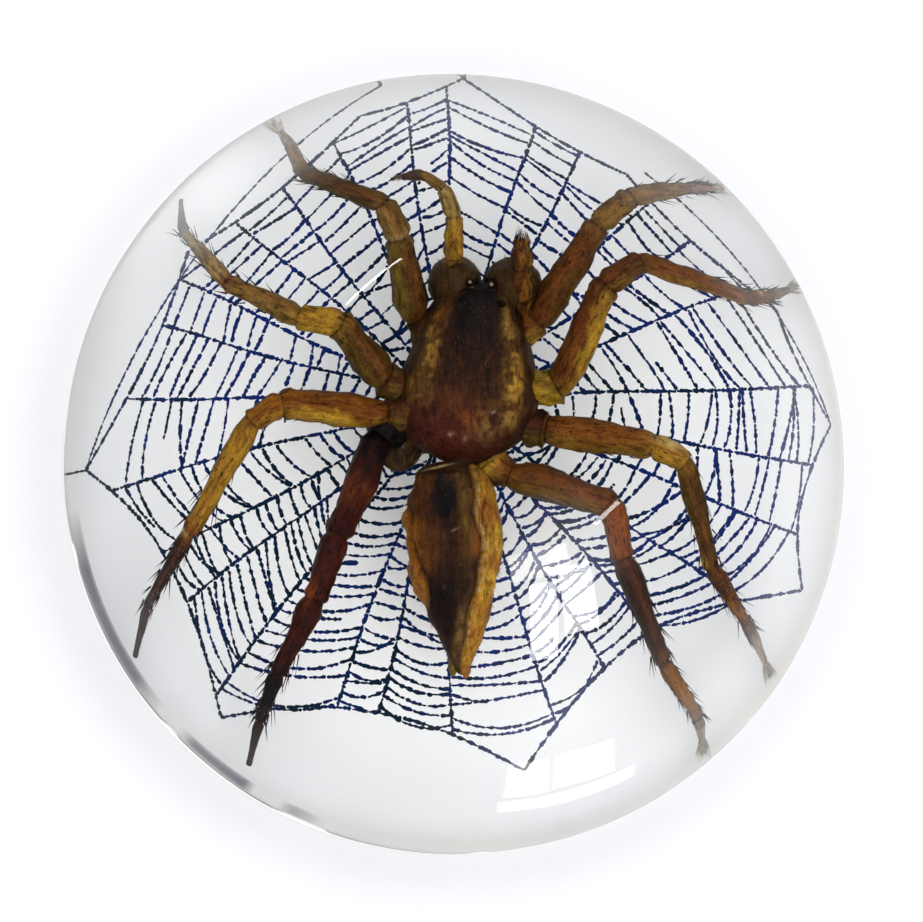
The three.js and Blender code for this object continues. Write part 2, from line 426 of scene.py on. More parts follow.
@dataclass(frozen=True)
class CuticleFinish:
    """The spider's dried skin: its own pigments, streaked, mottled and dotted where hairs stand."""

    streaks: float = 0.62
    mottle: float = 0.5
    dots: float = 0.75
    deepen: Colour = srgb(128, 100, 80)
    brighten: Colour = (1.6, 1.5, 1.3, 1.0)
    lift: Colour = srgb(32, 26, 10)
    hair_root: Colour = srgb(16, 9, 8)

    def material(self) -> Material:
        """Builds the skin's material.

        Returns:
            The material.
        """
        paint = Paint("spider_cuticle")
        lie = paint.attribute("lie", "Vector")
        pigment = paint.attribute("pigment", "Color")
        streak = paint.grain(1.0, 5, lie, (0.9, 5.0, 5.0))
        blotch = paint.grain(1.0, 5, lie, (1.7, 2.8, 2.8))
        fine = paint.grain(1.0, 3, lie, (7.0, 12.0, 12.0))
        deep = paint.mixed(1.0, pigment, self.deepen, "MULTIPLY")
        bright = paint.mixed(1.0, pigment, self.brighten, "MULTIPLY")
        bright = paint.mixed(1.0, bright, self.lift, "ADD")
        colour = paint.mixed(streak.below(0.53, 6.0 * self.streaks), pigment, deep)
        colour = paint.mixed(blotch.above(0.54, 6.0 * self.mottle), colour, bright)
        colour = paint.mixed(blotch.below(0.46, 7.0 * self.mottle), colour, deep)
        colour = paint.mixed(fine.below(0.5, 3.0), colour, deep)
        colour = paint.mixed(fine.above(0.58, 4.0 * self.mottle), colour, bright)
        roots = paint.dots(lie, 0.2, (1.2, 2.6, 2.6)) * paint.attribute("dotted") * self.dots
        colour = paint.mixed(roots, colour, self.hair_root)
        wrinkle = streak * 0.6 + fine * 0.25 + blotch * 0.5
        return paint.finished(Base_Color=colour, Roughness=0.32 + 0.3 * fine, Specular_IOR_Level=0.07,
                              Normal=paint.bump(wrinkle, 0.6, 0.12))


@dataclass(frozen=True)
class HairFinish:
    """Fine hairs or spines of one colour, paler in some places than in others."""

    name: str
    dark: Colour
    pale: Colour

    def material(self) -> Material:
        """Builds the hairs' material.

        Returns:
            The material.
        """
        paint = Paint(self.name)
        colour = paint.mixed(paint.grain(900, 2).above(0.4, 3.0), self.dark, self.pale)
        return paint.finished(Base_Color=colour, Roughness=0.5, Specular_IOR_Level=0.05)


@dataclass(frozen=True)
class EyeFinish:
    """The eyes' dark glossy lenses, pale where the largest ones catch the light."""

    deep: Colour = srgb(5, 4, 6)
    amber: Colour = srgb(30, 18, 12)
    lit: Colour = srgb(150, 130, 112)

    def material(self) -> Material:
        """Builds the lenses' material.

        Returns:
            The material.
        """
        paint = Paint("eye_lens")
        colour = paint.mixed(paint.grain(1500, 1), self.deep, self.amber)
        colour = paint.mixed(paint.attribute("shine"), colour, self.lit)
        return paint.finished(Base_Color=colour, Roughness=0.12, Specular_IOR_Level=0.03)


@dataclass(frozen=True)
class FloorFinish:
    """The plain pale surface that the dome stands on."""

    white: Colour = (0.72, 0.72, 0.735, 1.0)

    def material(self) -> Material:
        """Builds the floor's material."""
        return Paint("pale_floor").finished(Base_Color=self.white, Roughness=0.8, Specular_IOR_Level=0.1)


@dataclass
class Skin:
    """A closed mesh in millimetres with its per-vertex attributes."""

    points: Array
    faces: Faces
    attributes: dict[str, Array] = field(default_factory=dict)

    def mesh(self, name: str, materials: Sequence[Material], layers: Sequence[str] = SKIN_LAYERS) -> Mesh:
        """Writes the skin as a mesh.

        Args:
            name: The mesh's name.
            materials: Its materials, by slot.
            layers: The attributes that it keeps, where the skin has them.

        Returns:
            The mesh in metres, with smooth faces.
        """
        made = bpy.data.meshes.new(name)
        made.from_pydata((self.points * MM).tolist(), [], self.faces)
        for label in [layer for layer in layers if layer in self.attributes]:
            values, kind, key = self.attributes[label], "FLOAT", "value"
            if label == "pigment":
                values, kind, key = np.column_stack([values, np.ones(len(values))]), "FLOAT_COLOR", "color"
            elif values.ndim == 2:
                kind, key = "FLOAT_VECTOR", "vector"
            layer = made.attributes.new(label, kind, "POINT")
            layer.data.foreach_set(key, values.astype(np.float32).ravel())
        for material in materials:
            made.materials.append(material)
        made.polygons.foreach_set("use_smooth", [True] * len(made.polygons))
        made.update()
        return made

    @classmethod
    def joined(cls, skins: Sequence["Skin"]) -> "Skin":
        """Several skins as one, with the attributes that all of them have.

        Args:
            skins: The skins, in order.

        Returns:
            The joined skin.
        """
        starts = np.cumsum([0] + [len(s.points) for s in skins[:-1]])
        faces = [tuple(int(i + start) for i in face) for s, start in zip(skins, starts) for face in s.faces]
        shared = [k for k in skins[0].attributes if all(k in s.attributes for s in skins)]
        layers = {k: np.concatenate([s.attributes[k] for s in skins]) for k in shared}
        return cls(np.concatenate([s.points for s in skins]), faces, layers)


def place_piece(mesh: Mesh, slot: str, *replaces: str) -> Piece:
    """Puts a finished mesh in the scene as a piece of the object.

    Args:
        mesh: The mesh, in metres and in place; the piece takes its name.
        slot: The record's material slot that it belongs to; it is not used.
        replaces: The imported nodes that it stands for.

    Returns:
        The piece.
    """
    piece = bpy.data.objects.new(mesh.name, mesh)
    bpy.context.scene.collection.objects.link(piece)
    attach(piece, ROOT)
    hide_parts(*replaces)
    LOG.info("%s: %d faces", piece.name, len(mesh.polygons))
    return piece


def place_on_spider(mesh: Mesh) -> Piece:
    """Puts a finished mesh in the scene as a piece of the spider."""
    return place_piece(mesh, "dried_spider", "spider")


def ring_faces(rings: int, sides: int) -> Faces:
    """Faces of a skin over rings of points, closed on a first and a last point.

    Args:
        rings: How many rings there are.
        sides: Points in a ring, counted anticlockwise as seen from the last point.

    Returns:
        The faces, for points in the order first, rings, last.
    """
    faces: Faces = []
    last = 1 + rings * sides
    rim = last - sides
    for side in range(sides):
        following = (side + 1) % sides
        faces.append((0, 1 + following, 1 + side))
        for low in range(1, rim, sides):
            high = low + sides
            faces.append((low + side, low + following, high + following, high + side))
        faces.append((rim + side, rim + following, last))
    return faces


def smooth_curve(keys: Sequence[float], values: Sequence[float], at: Array) -> Array:
    """Reads a smooth curve through a few key values.

    Args:
        keys: Where the values are given, rising.
        values: The values.
        at: Where the curve is read.

    Returns:
        The curve's values there.
    """
    x, y = np.asarray(keys, float), np.asarray(values, float)
    slope = np.gradient(y, x)
    place = np.clip(np.searchsorted(x, at) - 1, 0, len(x) - 2)
    width = x[place + 1] - x[place]
    t = clamped((at - x[place]) / width)
    rise = (2 * t**3 - 3 * t**2 + 1) * y[place] + (-2 * t**3 + 3 * t**2) * y[place + 1]
    turn = (t**3 - 2 * t**2 + t) * slope[place] + (t**3 - t**2) * slope[place + 1]
    return rise + turn * width


def roughened(points: Array, scale: float, seed: float) -> Array:
    """Smooth noise at each point, between about -1 and 1.

    Args:
        points: The points, in millimetres, as rows or as a grid of rows.
        scale: Waves in a millimetre.
        seed: An offset that gives another pattern.

    Returns:
        One value a point.
    """
    offset = Vector((seed, -seed, 2 * seed))
    values = [noise.noise(Vector(p) * scale + offset) for p in points.reshape(-1, 3).tolist()]
    return np.array(values).reshape(points.shape[:-1])


@dataclass
class ResinDome:
    """The clear casting: a short sanded wall with chips, a soft shoulder and a spherical cap.

    Each chip is an azimuth, a half width in degrees and a depth.
    """

    radius: float = 22.5
    top: float = 16.0
    wall_top: float = 4.0
    foot: float = 1.15
    foot_inset: float = 0.12
    foot_rise: float = 0.25
    shoulder: float = 0.9
    chip_height: float = 2.6
    chip_ripple: float = 0.3
    sides: int = 360
    cap_rings: int = 110
    edge_rings: int = 4
    shoulder_rings: int = 10
    chips: tuple[Point, ...] = (
        (-113.5, 2.3, 0.4), (-111, 1.2, 0.3), (-86.5, 0.8, 0.3), (-136.5, 1.0, 0.3), (-166, 1.1, 0.2),
        (-41, 0.8, 0.2),
    )

    def profile(self) -> list[tuple[float, float]]:
        """Works out the outline from the foot to the top.

        Returns:
            Pairs of radius and height, without the two points on the axis.
        """
        rise = self.top - self.wall_top
        cap = (self.radius**2 + rise**2) / (2 * rise)
        widest = math.asin(self.radius / cap)
        line = [(self.radius - self.foot_inset, self.foot), (self.radius - 0.02, self.foot + 0.1)]
        straight = self.wall_top - self.shoulder - self.foot - self.foot_rise
        line += [(self.radius, self.foot + self.foot_rise + straight * n / self.edge_rings)
                 for n in range(self.edge_rings + 1)]
        arc = [widest * (1 - step / self.cap_rings) for step in range(self.cap_rings)]
        cap_line = [(cap * math.sin(a), self.top - cap * (1 - math.cos(a))) for a in arc]
        corner = (self.radius, self.wall_top)
        join = next(p for p in cap_line if math.dist(p, corner) > self.shoulder)
        start = (self.radius, self.wall_top - self.shoulder)
        for step in range(1, self.shoulder_rings):
            t = step / self.shoulder_rings
            line.append(tuple((1 - t) ** 2 * a + 2 * t * (1 - t) * b + t**2 * c
                              for a, b, c in zip(start, corner, join)))
        return line + cap_line[cap_line.index(join):]

    def build(self, finish: ResinFinish, edge: SandedEdgeFinish) -> Piece:
        """Makes the dome in place of both halves of the resin.

        Args:
            finish: The clear resin's finish.
            edge: The straight edge's finish.

        Returns:
            The piece.
        """
        line = self.profile()
        angles = full_turn(self.sides)
        circle = np.column_stack([np.cos(angles), np.sin(angles)])
        uneven = 0.03 + 0.015 * np.sin(5 * angles + 1) + 0.01 * np.sin(13 * angles)
        nick = np.zeros(self.sides)
        for azimuth, width, depth in self.chips:
            near = hump(turn_from(math.radians(azimuth), angles), 0.0, math.radians(width))
            nick += depth * near * (1 + self.chip_ripple * np.sin(angles * 140))
        rings, chipped = [], []
        for r, z in line:
            outer = r > 0.9 * self.radius
            low = max(0.0, min(1.0, (self.wall_top + 1 - z) / 2)) * outer
            foot = max(0.0, 1 - (z - self.foot) / self.chip_height) * outer
            own = (r - uneven * low - nick * foot)[:, None]
            rings.append(np.column_stack([circle * own, np.full(self.sides, z)]))
            chipped.append(clamped(nick * 5) * min(1.0, 2 * foot))
        points = np.concatenate([[[0, 0, self.foot]], *rings, [[0, 0, self.top]]])
        layers = {"chipped": np.concatenate([[0.0], *chipped, [0.0]])}
        skin = Skin(points, ring_faces(len(line), self.sides), layers)
        mesh = skin.mesh("clear_dome", [finish.material(), edge.material()], ["chipped"])
        height = np.array([p.center.z for p in mesh.polygons]) / MM
        reach = np.array([math.hypot(p.center.x, p.center.y) for p in mesh.polygons]) / MM
        sanded = (height < self.wall_top - self.shoulder) & (reach > 0.95 * self.radius)
        mesh.polygons.foreach_set("material_index", sanded.astype(np.int32))
        return place_piece(mesh, "clear_resin", "resin_lower", "resin_upper")


@dataclass
class OrbWeb:
    """The printed orb web: frame threads, spokes and sagging capture threads, in short strokes.

    Each guy, a loose thread towards the rim, is its start, its end and how far it bows between them.
    """

    hub: tuple[float, float] = (-0.5, 2.6)
    anchors: tuple[tuple[float, float], ...] = (
        (0.4, 20.8), (8.6, 14.6), (16.6, 8.0), (20.1, 2.2), (17.6, -2.4), (18.3, -6.6), (9.4, -8.2),
        (3.4, -15.6), (-4.6, -12.4), (-12.2, -13.4), (-15.2, -4.2), (-19.6, -0.6), (-13.8, 10.6),
        (-5.0, 18.0),
    )
    guys: tuple[tuple[tuple[float, float], ...], ...] = (
        ((-19.6, -0.6), (-3.4, 20.9), (-1.2, 0.96)), ((-19.6, -0.6), (-21.3, -0.9), (0.0, 0.0)),
        ((20.1, 2.2), (9.6, 14.9), (0.7, 0.6)),
    )
    spokes: int = 27
    spacing: float = 0.66
    frame_sag: float = 0.07
    first_rung: float = 1.2
    lost_rungs: float = 0.05
    stroke_width: float = 0.178
    stroke_lengths: tuple[float, float] = (0.5, 2.2)
    stroke_gaps: tuple[float, float] = (0.01, 0.06)
    blot: float = 0.105
    blot_sizes: tuple[float, float] = (0.42, 1.4)
    seed: int = 11

    def __post_init__(self) -> None:
        """Starts the web's own random numbers."""
        self.random = np.random.default_rng(self.seed)
        self.middle = np.array(self.hub)

    def edge(self) -> Array:
        """Walks the frame threads from anchor to anchor, each sagging a little towards the hub.

        Returns:
            Points all the way round.
        """
        corners = np.array(self.anchors)
        t = np.linspace(0, 1, 24, endpoint=False)[:, None]
        walk = []
        for start, stop in zip(corners, np.roll(corners, -1, axis=0)):
            line = start + (stop - start) * t
            sag = self.frame_sag * np.linalg.norm(stop - start) * 4 * t * (1 - t)
            walk.append(line + unit(self.middle - line) * sag)
        return np.concatenate(walk)

    def threads(self) -> list[Thread]:
        """Lays out every thread.

        Returns:
            Pairs of the thread's points and its width.
        """
        edge = self.edge()
        bearing = np.arctan2(edge[:, 1] - self.hub[1], edge[:, 0] - self.hub[0])
        step = 2 * math.pi / self.spokes
        uneven = self.random.uniform(-0.24, 0.24, self.spokes)
        wanted = np.arange(self.spokes) * step - math.pi + uneven * step
        ends = [edge[int(np.argmin(np.abs(turn_from(angle, bearing))))] for angle in wanted]
        threads = [(np.vstack([edge, edge[:1]]), 1.15 * self.stroke_width)]
        t = np.linspace(0.05, 1, 40)[:, None]
        for end in ends:
            out = end - self.middle
            wave = 0.12 * np.sin(t * 7 + end[0])
            across = unit(np.array([-out[1], out[0]]))
            threads.append((self.middle + out * t + across * wave, 1.05 * self.stroke_width))
        for first, second in zip(ends, ends[1:] + ends[:1]):
            threads += self._ladder(first, second)
        t = np.linspace(0, 1, 30)[:, None]
        for start, stop, bow in (map(np.array, guy) for guy in self.guys):
            threads.append((start * (1 - t) + stop * t + bow * 4 * t * (1 - t), self.stroke_width * 0.8))
        return threads

    def _ladder(self, first: Array, second: Array) -> list[Thread]:
        """Hangs the capture threads between two neighbouring spokes, a few of them broken or lost.

        Args:
            first: Where the first spoke ends.
            second: Where the second spoke ends.

        Returns:
            Pairs of the thread's points and its width.
        """
        hub = self.middle
        reach = min(np.linalg.norm(first - hub), np.linalg.norm(second - hub))
        dense = 0.82 if (first + second)[1] < 2 * hub[1] - 12 else 1.12
        t = np.linspace(0, 1, 14)[:, None]
        rungs = []
        away = self.first_rung
        while away < reach - 0.25:
            share = away / reach
            slant = 0.065 if self.random.random() < 0.2 else 0.02
            other = share + self.random.uniform(-slant, slant)
            a = hub + (first - hub) * share
            b = hub + (second - hub) * other
            hang = unit((a + b) / 2 - hub) * self.random.uniform(-0.02, 0.08)
            hang = hang + np.array([0, -1]) * self.random.uniform(0.03, 0.11)
            rung = a + (b - a) * t + hang * np.linalg.norm(b - a) * 4 * t * (1 - t)
            chance = self.random.random()
            if chance < self.lost_rungs:
                rung = rung[: int(self.random.integers(6, 11))]
            if chance < 1 - self.lost_rungs:
                rungs.append((rung, self.stroke_width * self.random.uniform(0.85, 1.1)))
            away += dense * self.spacing * self.random.uniform(0.72, 1.3)
        return rungs

    def strokes(self) -> list[Array]:
        """Breaks the threads into the print's short uneven strokes.

        Returns:
            One closed outline a stroke, anticlockwise.
        """
        shapes = []
        for line, width in self.threads():
            along = np.concatenate([[0], np.cumsum(np.linalg.norm(np.diff(line, axis=0), axis=1))])
            at = 0.0
            while at < along[-1] - 0.1:
                stop = min(at + self.random.uniform(*self.stroke_lengths), along[-1])
                shapes.append(self._stroke(line, along, at, stop, width))
                at = stop + self.random.uniform(*self.stroke_gaps)
        return shapes

    def _stroke(self, line: Array, along: Array, start: float, stop: float, width: float) -> Array:
        """Draws one stroke on a thread, like a row of small blots that run together.

        Args:
            line: The thread's points.
            along: How far along the thread each point is.
            start: Where the stroke starts.
            stop: Where it ends.
            width: The thread's width.

        Returns:
            The stroke's outline.
        """
        count = max(3, int((stop - start) / self.blot) + 1)
        at = np.linspace(start, stop, count)
        centre = np.column_stack([np.interp(at, along, line[:, 0]), np.interp(at, along, line[:, 1])])
        heading = np.gradient(centre, axis=0)
        heading /= np.linalg.norm(heading, axis=1)[:, None] + 1e-9
        side = np.column_stack([-heading[:, 1], heading[:, 0]])
        centre = centre + side * self.random.uniform(-0.022, 0.022, count)[:, None]
        half = width / 2 * self.random.uniform(*self.blot_sizes, count)
        half[[0, -1]] *= 0.6
        return np.vstack([centre - side * half[:, None], (centre + side * half[:, None])[::-1]])


@dataclass
class PrintedBacking:
    """The backing disc, whose top face is cut into white card and printed strokes."""

    web: OrbWeb
    radius: float = 22.5
    thickness: float = 1.2
    edge_round: float = 0.06
    sides: int = 256

    def build(self, card: CardFinish, ink: InkFinish) -> Piece:
        """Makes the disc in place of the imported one.

        Args:
            card: The white card's finish.
            ink: The ink's finish.

        Returns:
            The piece.
        """
        angles = full_turn(self.sides)
        circle = np.column_stack([np.cos(angles), np.sin(angles)])
        small = self.edge_round
        outlines = [circle * (self.radius - small), *self.web.strokes()]
        faces, start = [], 0
        for outline in outlines:
            faces.append(list(range(start, start + len(outline))))
            start += len(outline)
        corners = [Vector(p) for p in np.concatenate(outlines).tolist()]
        flat, _, triangles, from_points, _, from_faces = delaunay_2d_cdt(corners, [], faces, 1, 1e-4, True)
        points = [(p.x, p.y, self.thickness) for p in flat]
        polygons = [tuple(t) for t in triangles]
        slots = [int(any(source > 0 for source in sources)) for sources in from_faces]
        previous = [0] * self.sides
        for index, sources in enumerate(from_points):
            for source in sources:
                if source < self.sides:
                    previous[source] = index
        for radius, height in ((self.radius, self.thickness - small), (self.radius, small),
                               (self.radius - small, 0.0)):
            ring = list(range(len(points), len(points) + self.sides))
            points += [(x * radius, y * radius, height) for x, y in circle.tolist()]
            for side in range(self.sides):
                following = (side + 1) % self.sides
                polygons.append((previous[side], ring[side], ring[following], previous[following]))
            previous = ring
        polygons.append(tuple(reversed(previous)))
        mesh = Skin(np.array(points), polygons).mesh("printed_backing", [card.material(), ink.material()])
        slots += [0] * (len(polygons) - len(slots))
        mesh.polygons.foreach_set("material_index", slots)
        mesh.polygons.foreach_set("use_smooth", [False] * len(polygons))
        return place_piece(mesh, "printed_backing", "backing_disc")


@dataclass(frozen=True)
class Stretch:
    """One segment of a limb: its radii at the start, the thickest stretch and the end."""

    start: float
    middle: float
    end: float


class Bristle(Enum):
    """How a stretch of skin is haired: down, setae and brush hairs in a square millimetre, and their size."""

    BARE = (0.0, 0.0, 0.0, 1.0)
    DOWNY = (5.0, 0.0, 0.0, 0.8)
    DOTTED = (9.0, 1.9, 0.0, 0.9)
    SPINY = (13.0, 4.2, 0.0, 1.0)
    ROUGH = (16.0, 6.5, 6.0, 1.0)
    BRUSH = (6.0, 1.0, 120.0, 1.0)
    TUFT = (10.0, 16.0, 5.0, 1.2)


B = Bristle


def hair_layers(kinds: Sequence[Bristle]) -> dict[str, Array]:
    """Turns a kind of hair for each point into the attributes that the hair trees read."""
    values = np.array([kind.value for kind in kinds])
    return {name: values[:, place] for place, name in enumerate(HOST_LAYERS[1:])}


def stretches(*radii: Point) -> tuple[Stretch, ...]:
    """Stretches from their three radii each."""
    return tuple(Stretch(*three) for three in radii)


LEG_STRETCHES = stretches((0.8, 1.05, 0.9), (0.85, 0.95, 0.8), (0.76, 0.9, 0.72), (0.68, 0.72, 0.62),
                          (0.6, 0.62, 0.46), (0.42, 0.4, 0.28), (0.25, 0.24, 0.16))
BRUSH_TIP = stretches((0.44, 0.42, 0.32), (0.3, 0.26, 0.15))
LEG_BRISTLES = (B.BARE, B.DOWNY, B.DOTTED, B.DOTTED, B.SPINY, B.ROUGH, B.BRUSH)
PALP_BRISTLES = (B.DOWNY, B.DOTTED, B.SPINY, B.ROUGH, B.BRUSH)
# where along a segment a whorl of spines stands and how long they are, by the segment's number
WHORLS = {
    2: ((0.3, 0.6), (0.55, 0.55), (0.8, 0.6)),
    3: ((0.5, 0.6),),
    4: ((0.12, 0.8), (0.4, 1.1), (0.68, 1.15), (0.92, 1.1)),
    5: ((0.1, 1.2), (0.32, 1.1), (0.55, 1.1), (0.78, 1.0), (0.95, 0.9)),
}


@dataclass(frozen=True)
class Mark:
    """A local stain on a limb: its place and width in segments, its pigment, how strong it is, its side."""

    at: float
    width: float
    pigment: Pigment
    share: float
    side: float = 0.0


@dataclass
class Limb:
    """A jointed leg or palp: one closed skin along its joints, drawn in a little at each of them.

    The pale side is +1 or -1 and says on which side of the limb the pale underside shows; that underside is
    partly the skin's own paler colour and partly painted light, for light that shines through the thin skin.
    Each furrow is its angle round the limb, its depth and its width. The knots are how much rougher the first
    two segments are.
    """

    name: str
    joints: tuple[Point, ...]
    stretches: tuple[Stretch, ...]
    pigments: tuple[Pigment, ...]
    bristles: tuple[Bristle, ...]
    pale_side: int = 0
    pale: tuple[float, ...] = ()
    marks: tuple[Mark, ...] = ()
    stripes: float = 0.22
    pale_pigment: Pigment = P.OLIVE
    back: Pigment = P.TAWNY
    edge: Pigment = P.UMBER
    furrows: tuple[Point, ...] = (
        (1.1, 0.06, 0.2), (1.9, 0.05, 0.16), (-2.4, 0.09, 0.3), (0.25, 0.06, 0.2), (2.85, 0.07, 0.2),
    )
    sides: int = 30
    rings: int = 22
    bend: float = 0.45
    bow: float = 0.035
    knots: float = 2.2
    coarse_relief: float = 0.2
    fine_relief: float = 0.13
    seed: float = 0.0

    def path(self) -> tuple[Array, Array, Array]:
        """Walks the limb with its corners eased.

        Returns:
            The ring centres, the segment number of each and how far along its segment it is.
        """
        corners = [np.array(j, float) for j in self.joints]
        spread = (0.5 - 0.5 * np.cos(np.linspace(0, math.pi, self.rings))).tolist()
        last = len(corners) - 2
        walk = [(number, share) for number in range(last + 1)
                for share in spread[: None if number == last else -1]]
        centres = [self._eased(corners, number, share) for number, share in walk]
        numbers, shares = zip(*walk)
        return np.array(centres), np.array(numbers), np.array(shares)

    def _eased(self, corners: list[Array], number: int, share: float) -> Array:
        """A point on a segment, pulled inside the bend near a joint and bowed a little between them.

        Args:
            corners: The limb's joints.
            number: The segment's number.
            share: How far along it the point is, from 0 to 1.

        Returns:
            The point.
        """
        start, stop = corners[number], corners[number + 1]
        length = np.linalg.norm(stop - start)
        point = start + (stop - start) * share
        point = point + np.array([0, 0, self.bow * length * math.sin(math.pi * share)])
        before = corners[number - 1] if number else None
        after = corners[number + 2] if number + 2 < len(corners) else None
        for corner, far, other, distance in ((start, stop, before, share * length),
                                             (stop, start, after, (1 - share) * length)):
            if other is not None and distance < self.bend:
                inward = (far - corner) / length + unit(other - corner)
                point = point + inward * self.bend * 0.25 * (1 - distance / self.bend) ** 2
        return point

    def radii(self, numbers: Array, shares: Array) -> Array:
        """Works out each ring's radius: drawn in at the joints, with a low lip before them.

        Args:
            numbers: The rings' segment numbers.
            shares: How far along its segment each ring is.

        Returns:
            One radius a ring.
        """
        keys = (0.0, 0.06, 0.4, 0.86, 0.95, 1.0)
        out = np.empty(len(numbers))
        for number, s in enumerate(self.stretches):
            values = (0.86 * s.start, 1.0 * s.start, s.middle, s.end * 1.07, s.end * 1.1, s.end * 0.87)
            own = numbers == number
            out[own] = smooth_curve(keys, values, shares[own])
        return out

    def skin(self) -> Skin:
        """Sweeps the limb's skin.

        Returns:
            The skin with its pigment, its lie and its hair attributes.
        """
        centres, numbers, shares = self.path()
        radii = self.radii(numbers, shares)
        along, across, upward = directions(np.gradient(centres, axis=0))
        angles = full_turn(self.sides)
        cosine, sine = np.cos(angles), np.sin(angles)
        furrow = np.ones(self.sides)
        for centre, depth, width in self.furrows:
            furrow -= depth * hump(turn_from(centre + 0.1 * self.seed, angles), 0.0, width)
        shape = (radii[:, None] * furrow)[..., None]
        grid = centres[:, None, :] + shape * (
            0.97 * cosine[:, None] * across[:, None, :] + sine[:, None] * upward[:, None, :])
        outward = (grid - centres[:, None, :]) / radii[:, None, None]
        broad, narrow = roughened(grid, 0.6, self.seed), roughened(grid, 2.2, self.seed + 3)
        knotty = (np.where(numbers < 2, self.knots, 1.0) * radii)[:, None]
        grid = grid + outward * ((self.coarse_relief * broad + self.fine_relief * narrow) * knotty)[..., None]
        first = centres[0] - along[0] * 0.3 * radii[0]
        last = centres[-1] + along[-1] * 0.35 * radii[-1]
        distance = np.concatenate([[0], np.cumsum(np.linalg.norm(np.diff(centres, axis=0), axis=1))])
        lie = np.stack([np.repeat((distance + 7 * self.seed)[:, None], self.sides, axis=1),
                        radii[:, None] * cosine, radii[:, None] * sine], axis=2)
        coat = self._coat(numbers, shares, cosine, sine, broad, narrow)
        at_tip = numbers == len(self.stretches) - 1
        layers = {"pigment": coat.colour, "lie": lie, "dotted": 1.0 - 0.8 * at_tip, "flow": along,
                  **hair_layers([self.bristles[n] for n in numbers])}
        return Skin(np.vstack([first, grid.reshape(-1, 3), last]), ring_faces(len(centres), self.sides),
                    {name: self._spread(values, broad.shape) for name, values in layers.items()})

    @staticmethod
    def _spread(values: Array, grid: tuple[int, int]) -> Array:
        """Lays ring or grid values out by vertex, with the two end points.

        Args:
            values: One value a ring, or one a ring and side.
            grid: How many rings and sides there are.

        Returns:
            One value a vertex.
        """
        if values.shape[:2] != grid:
            values = np.repeat(values[:, None], grid[1], axis=1)
        flat = values.reshape(grid[0] * grid[1], *values.shape[2:])
        return np.concatenate([flat[:1], flat, flat[-1:]])

    def _coat(self, numbers: Array, shares: Array, cosine: Array, sine: Array, broad: Array,
              narrow: Array) -> Coat:
        """Colours the limb: its segments, their pale undersides, their stripes, painted shade along both
        sides and their joints.

        Args:
            numbers: The rings' segment numbers.
            shares: How far along its segment each ring is.
            cosine: The sides' places across the limb.
            sine: The sides' places up from it.
            broad: Coarse noise by ring and side.
            narrow: Fine noise by ring and side.

        Returns:
            The coat.
        """
        place = numbers + shares
        keys = [n + end for n in range(len(self.pigments)) for end in (0.15, 0.85)]
        tints = [p.linear() for p in self.pigments for _ in (0, 1)]
        base = np.stack([np.interp(place, keys, [t[c] for t in tints]) for c in range(3)], axis=1)
        coat = Coat(np.repeat(base[:, None, :], len(cosine), axis=1))
        pale = np.array(self.pale or (0.0,) * len(self.pigments))[numbers][:, None]
        side = self.pale_side * cosine + 0.7 * broad + 0.5 * narrow
        length = hump(shares, 0.5, 0.62)[:, None]
        coat.brush(self.back, 0.3, hump(cosine, 0.2 * -self.pale_side, 0.35), sine > 0, length)
        # the pale side: partly the skin's own paler colour, partly painted light for light shining through
        # the skin
        if self.pale_side:
            coat.brush(self.pale_pigment, 0.75 * pale, clamped((side - 0.15) / 0.6), length)
        coat.brush(P.UMBER, 0.55, clamped(broad * 1.6 - 0.1), 1 - pale)
        stripe = np.sin(5 * np.arctan2(sine, cosine) + 9 * broad + 2 * place[:, None])
        coat.brush(self.edge, self.stripes, clamped(stripe + 0.3))
        # painted shade: the limb darkened along both its sides as seen from above, for its darker outline
        coat.brush(self.edge, 0.65, hump(np.abs(cosine), 1.0, 0.08))
        joint = 0.85 * hump(shares, 1.0, 0.04) + 0.6 * hump(shares, 0.0, 0.03)
        coat.brush(self.edge, joint[:, None], clamped(0.65 + 1.8 * narrow + broad))
        for mark in self.marks:
            sided = clamped(1 - abs(mark.side) + 2 * mark.side * cosine)
            near = hump(place, mark.at, mark.width)[:, None]
            coat.brush(mark.pigment, mark.share, near, clamped(0.8 + 1.2 * narrow), sided)
        return coat

    def tuft(self, count: int = 60) -> list[Spine]:
        """Fans pale hairs out round the leg's tip: for each its root, its heading and its length.

        Args:
            count: How many hairs there are.

        Returns:
            One hair a row.
        """
        start, stop = (np.array(point, float) for point in self.joints[-2:])
        along, across, upward = directions(stop - start)
        fan = []
        for number in range(count):
            turn = 2.4 * number + self.seed
            spread = math.sqrt((number + 0.5) / count)
            outward = math.cos(turn) * across + math.sin(turn) * upward
            root = stop - along * (0.25 + 0.35 * math.sin(1.7 * number) ** 2) + outward * 0.24 * spread
            heading = along + outward * (0.08 + 0.3 * spread)
            fan.append((root, unit(heading), 0.75 + 0.25 * math.cos(3 * number)))
        return fan

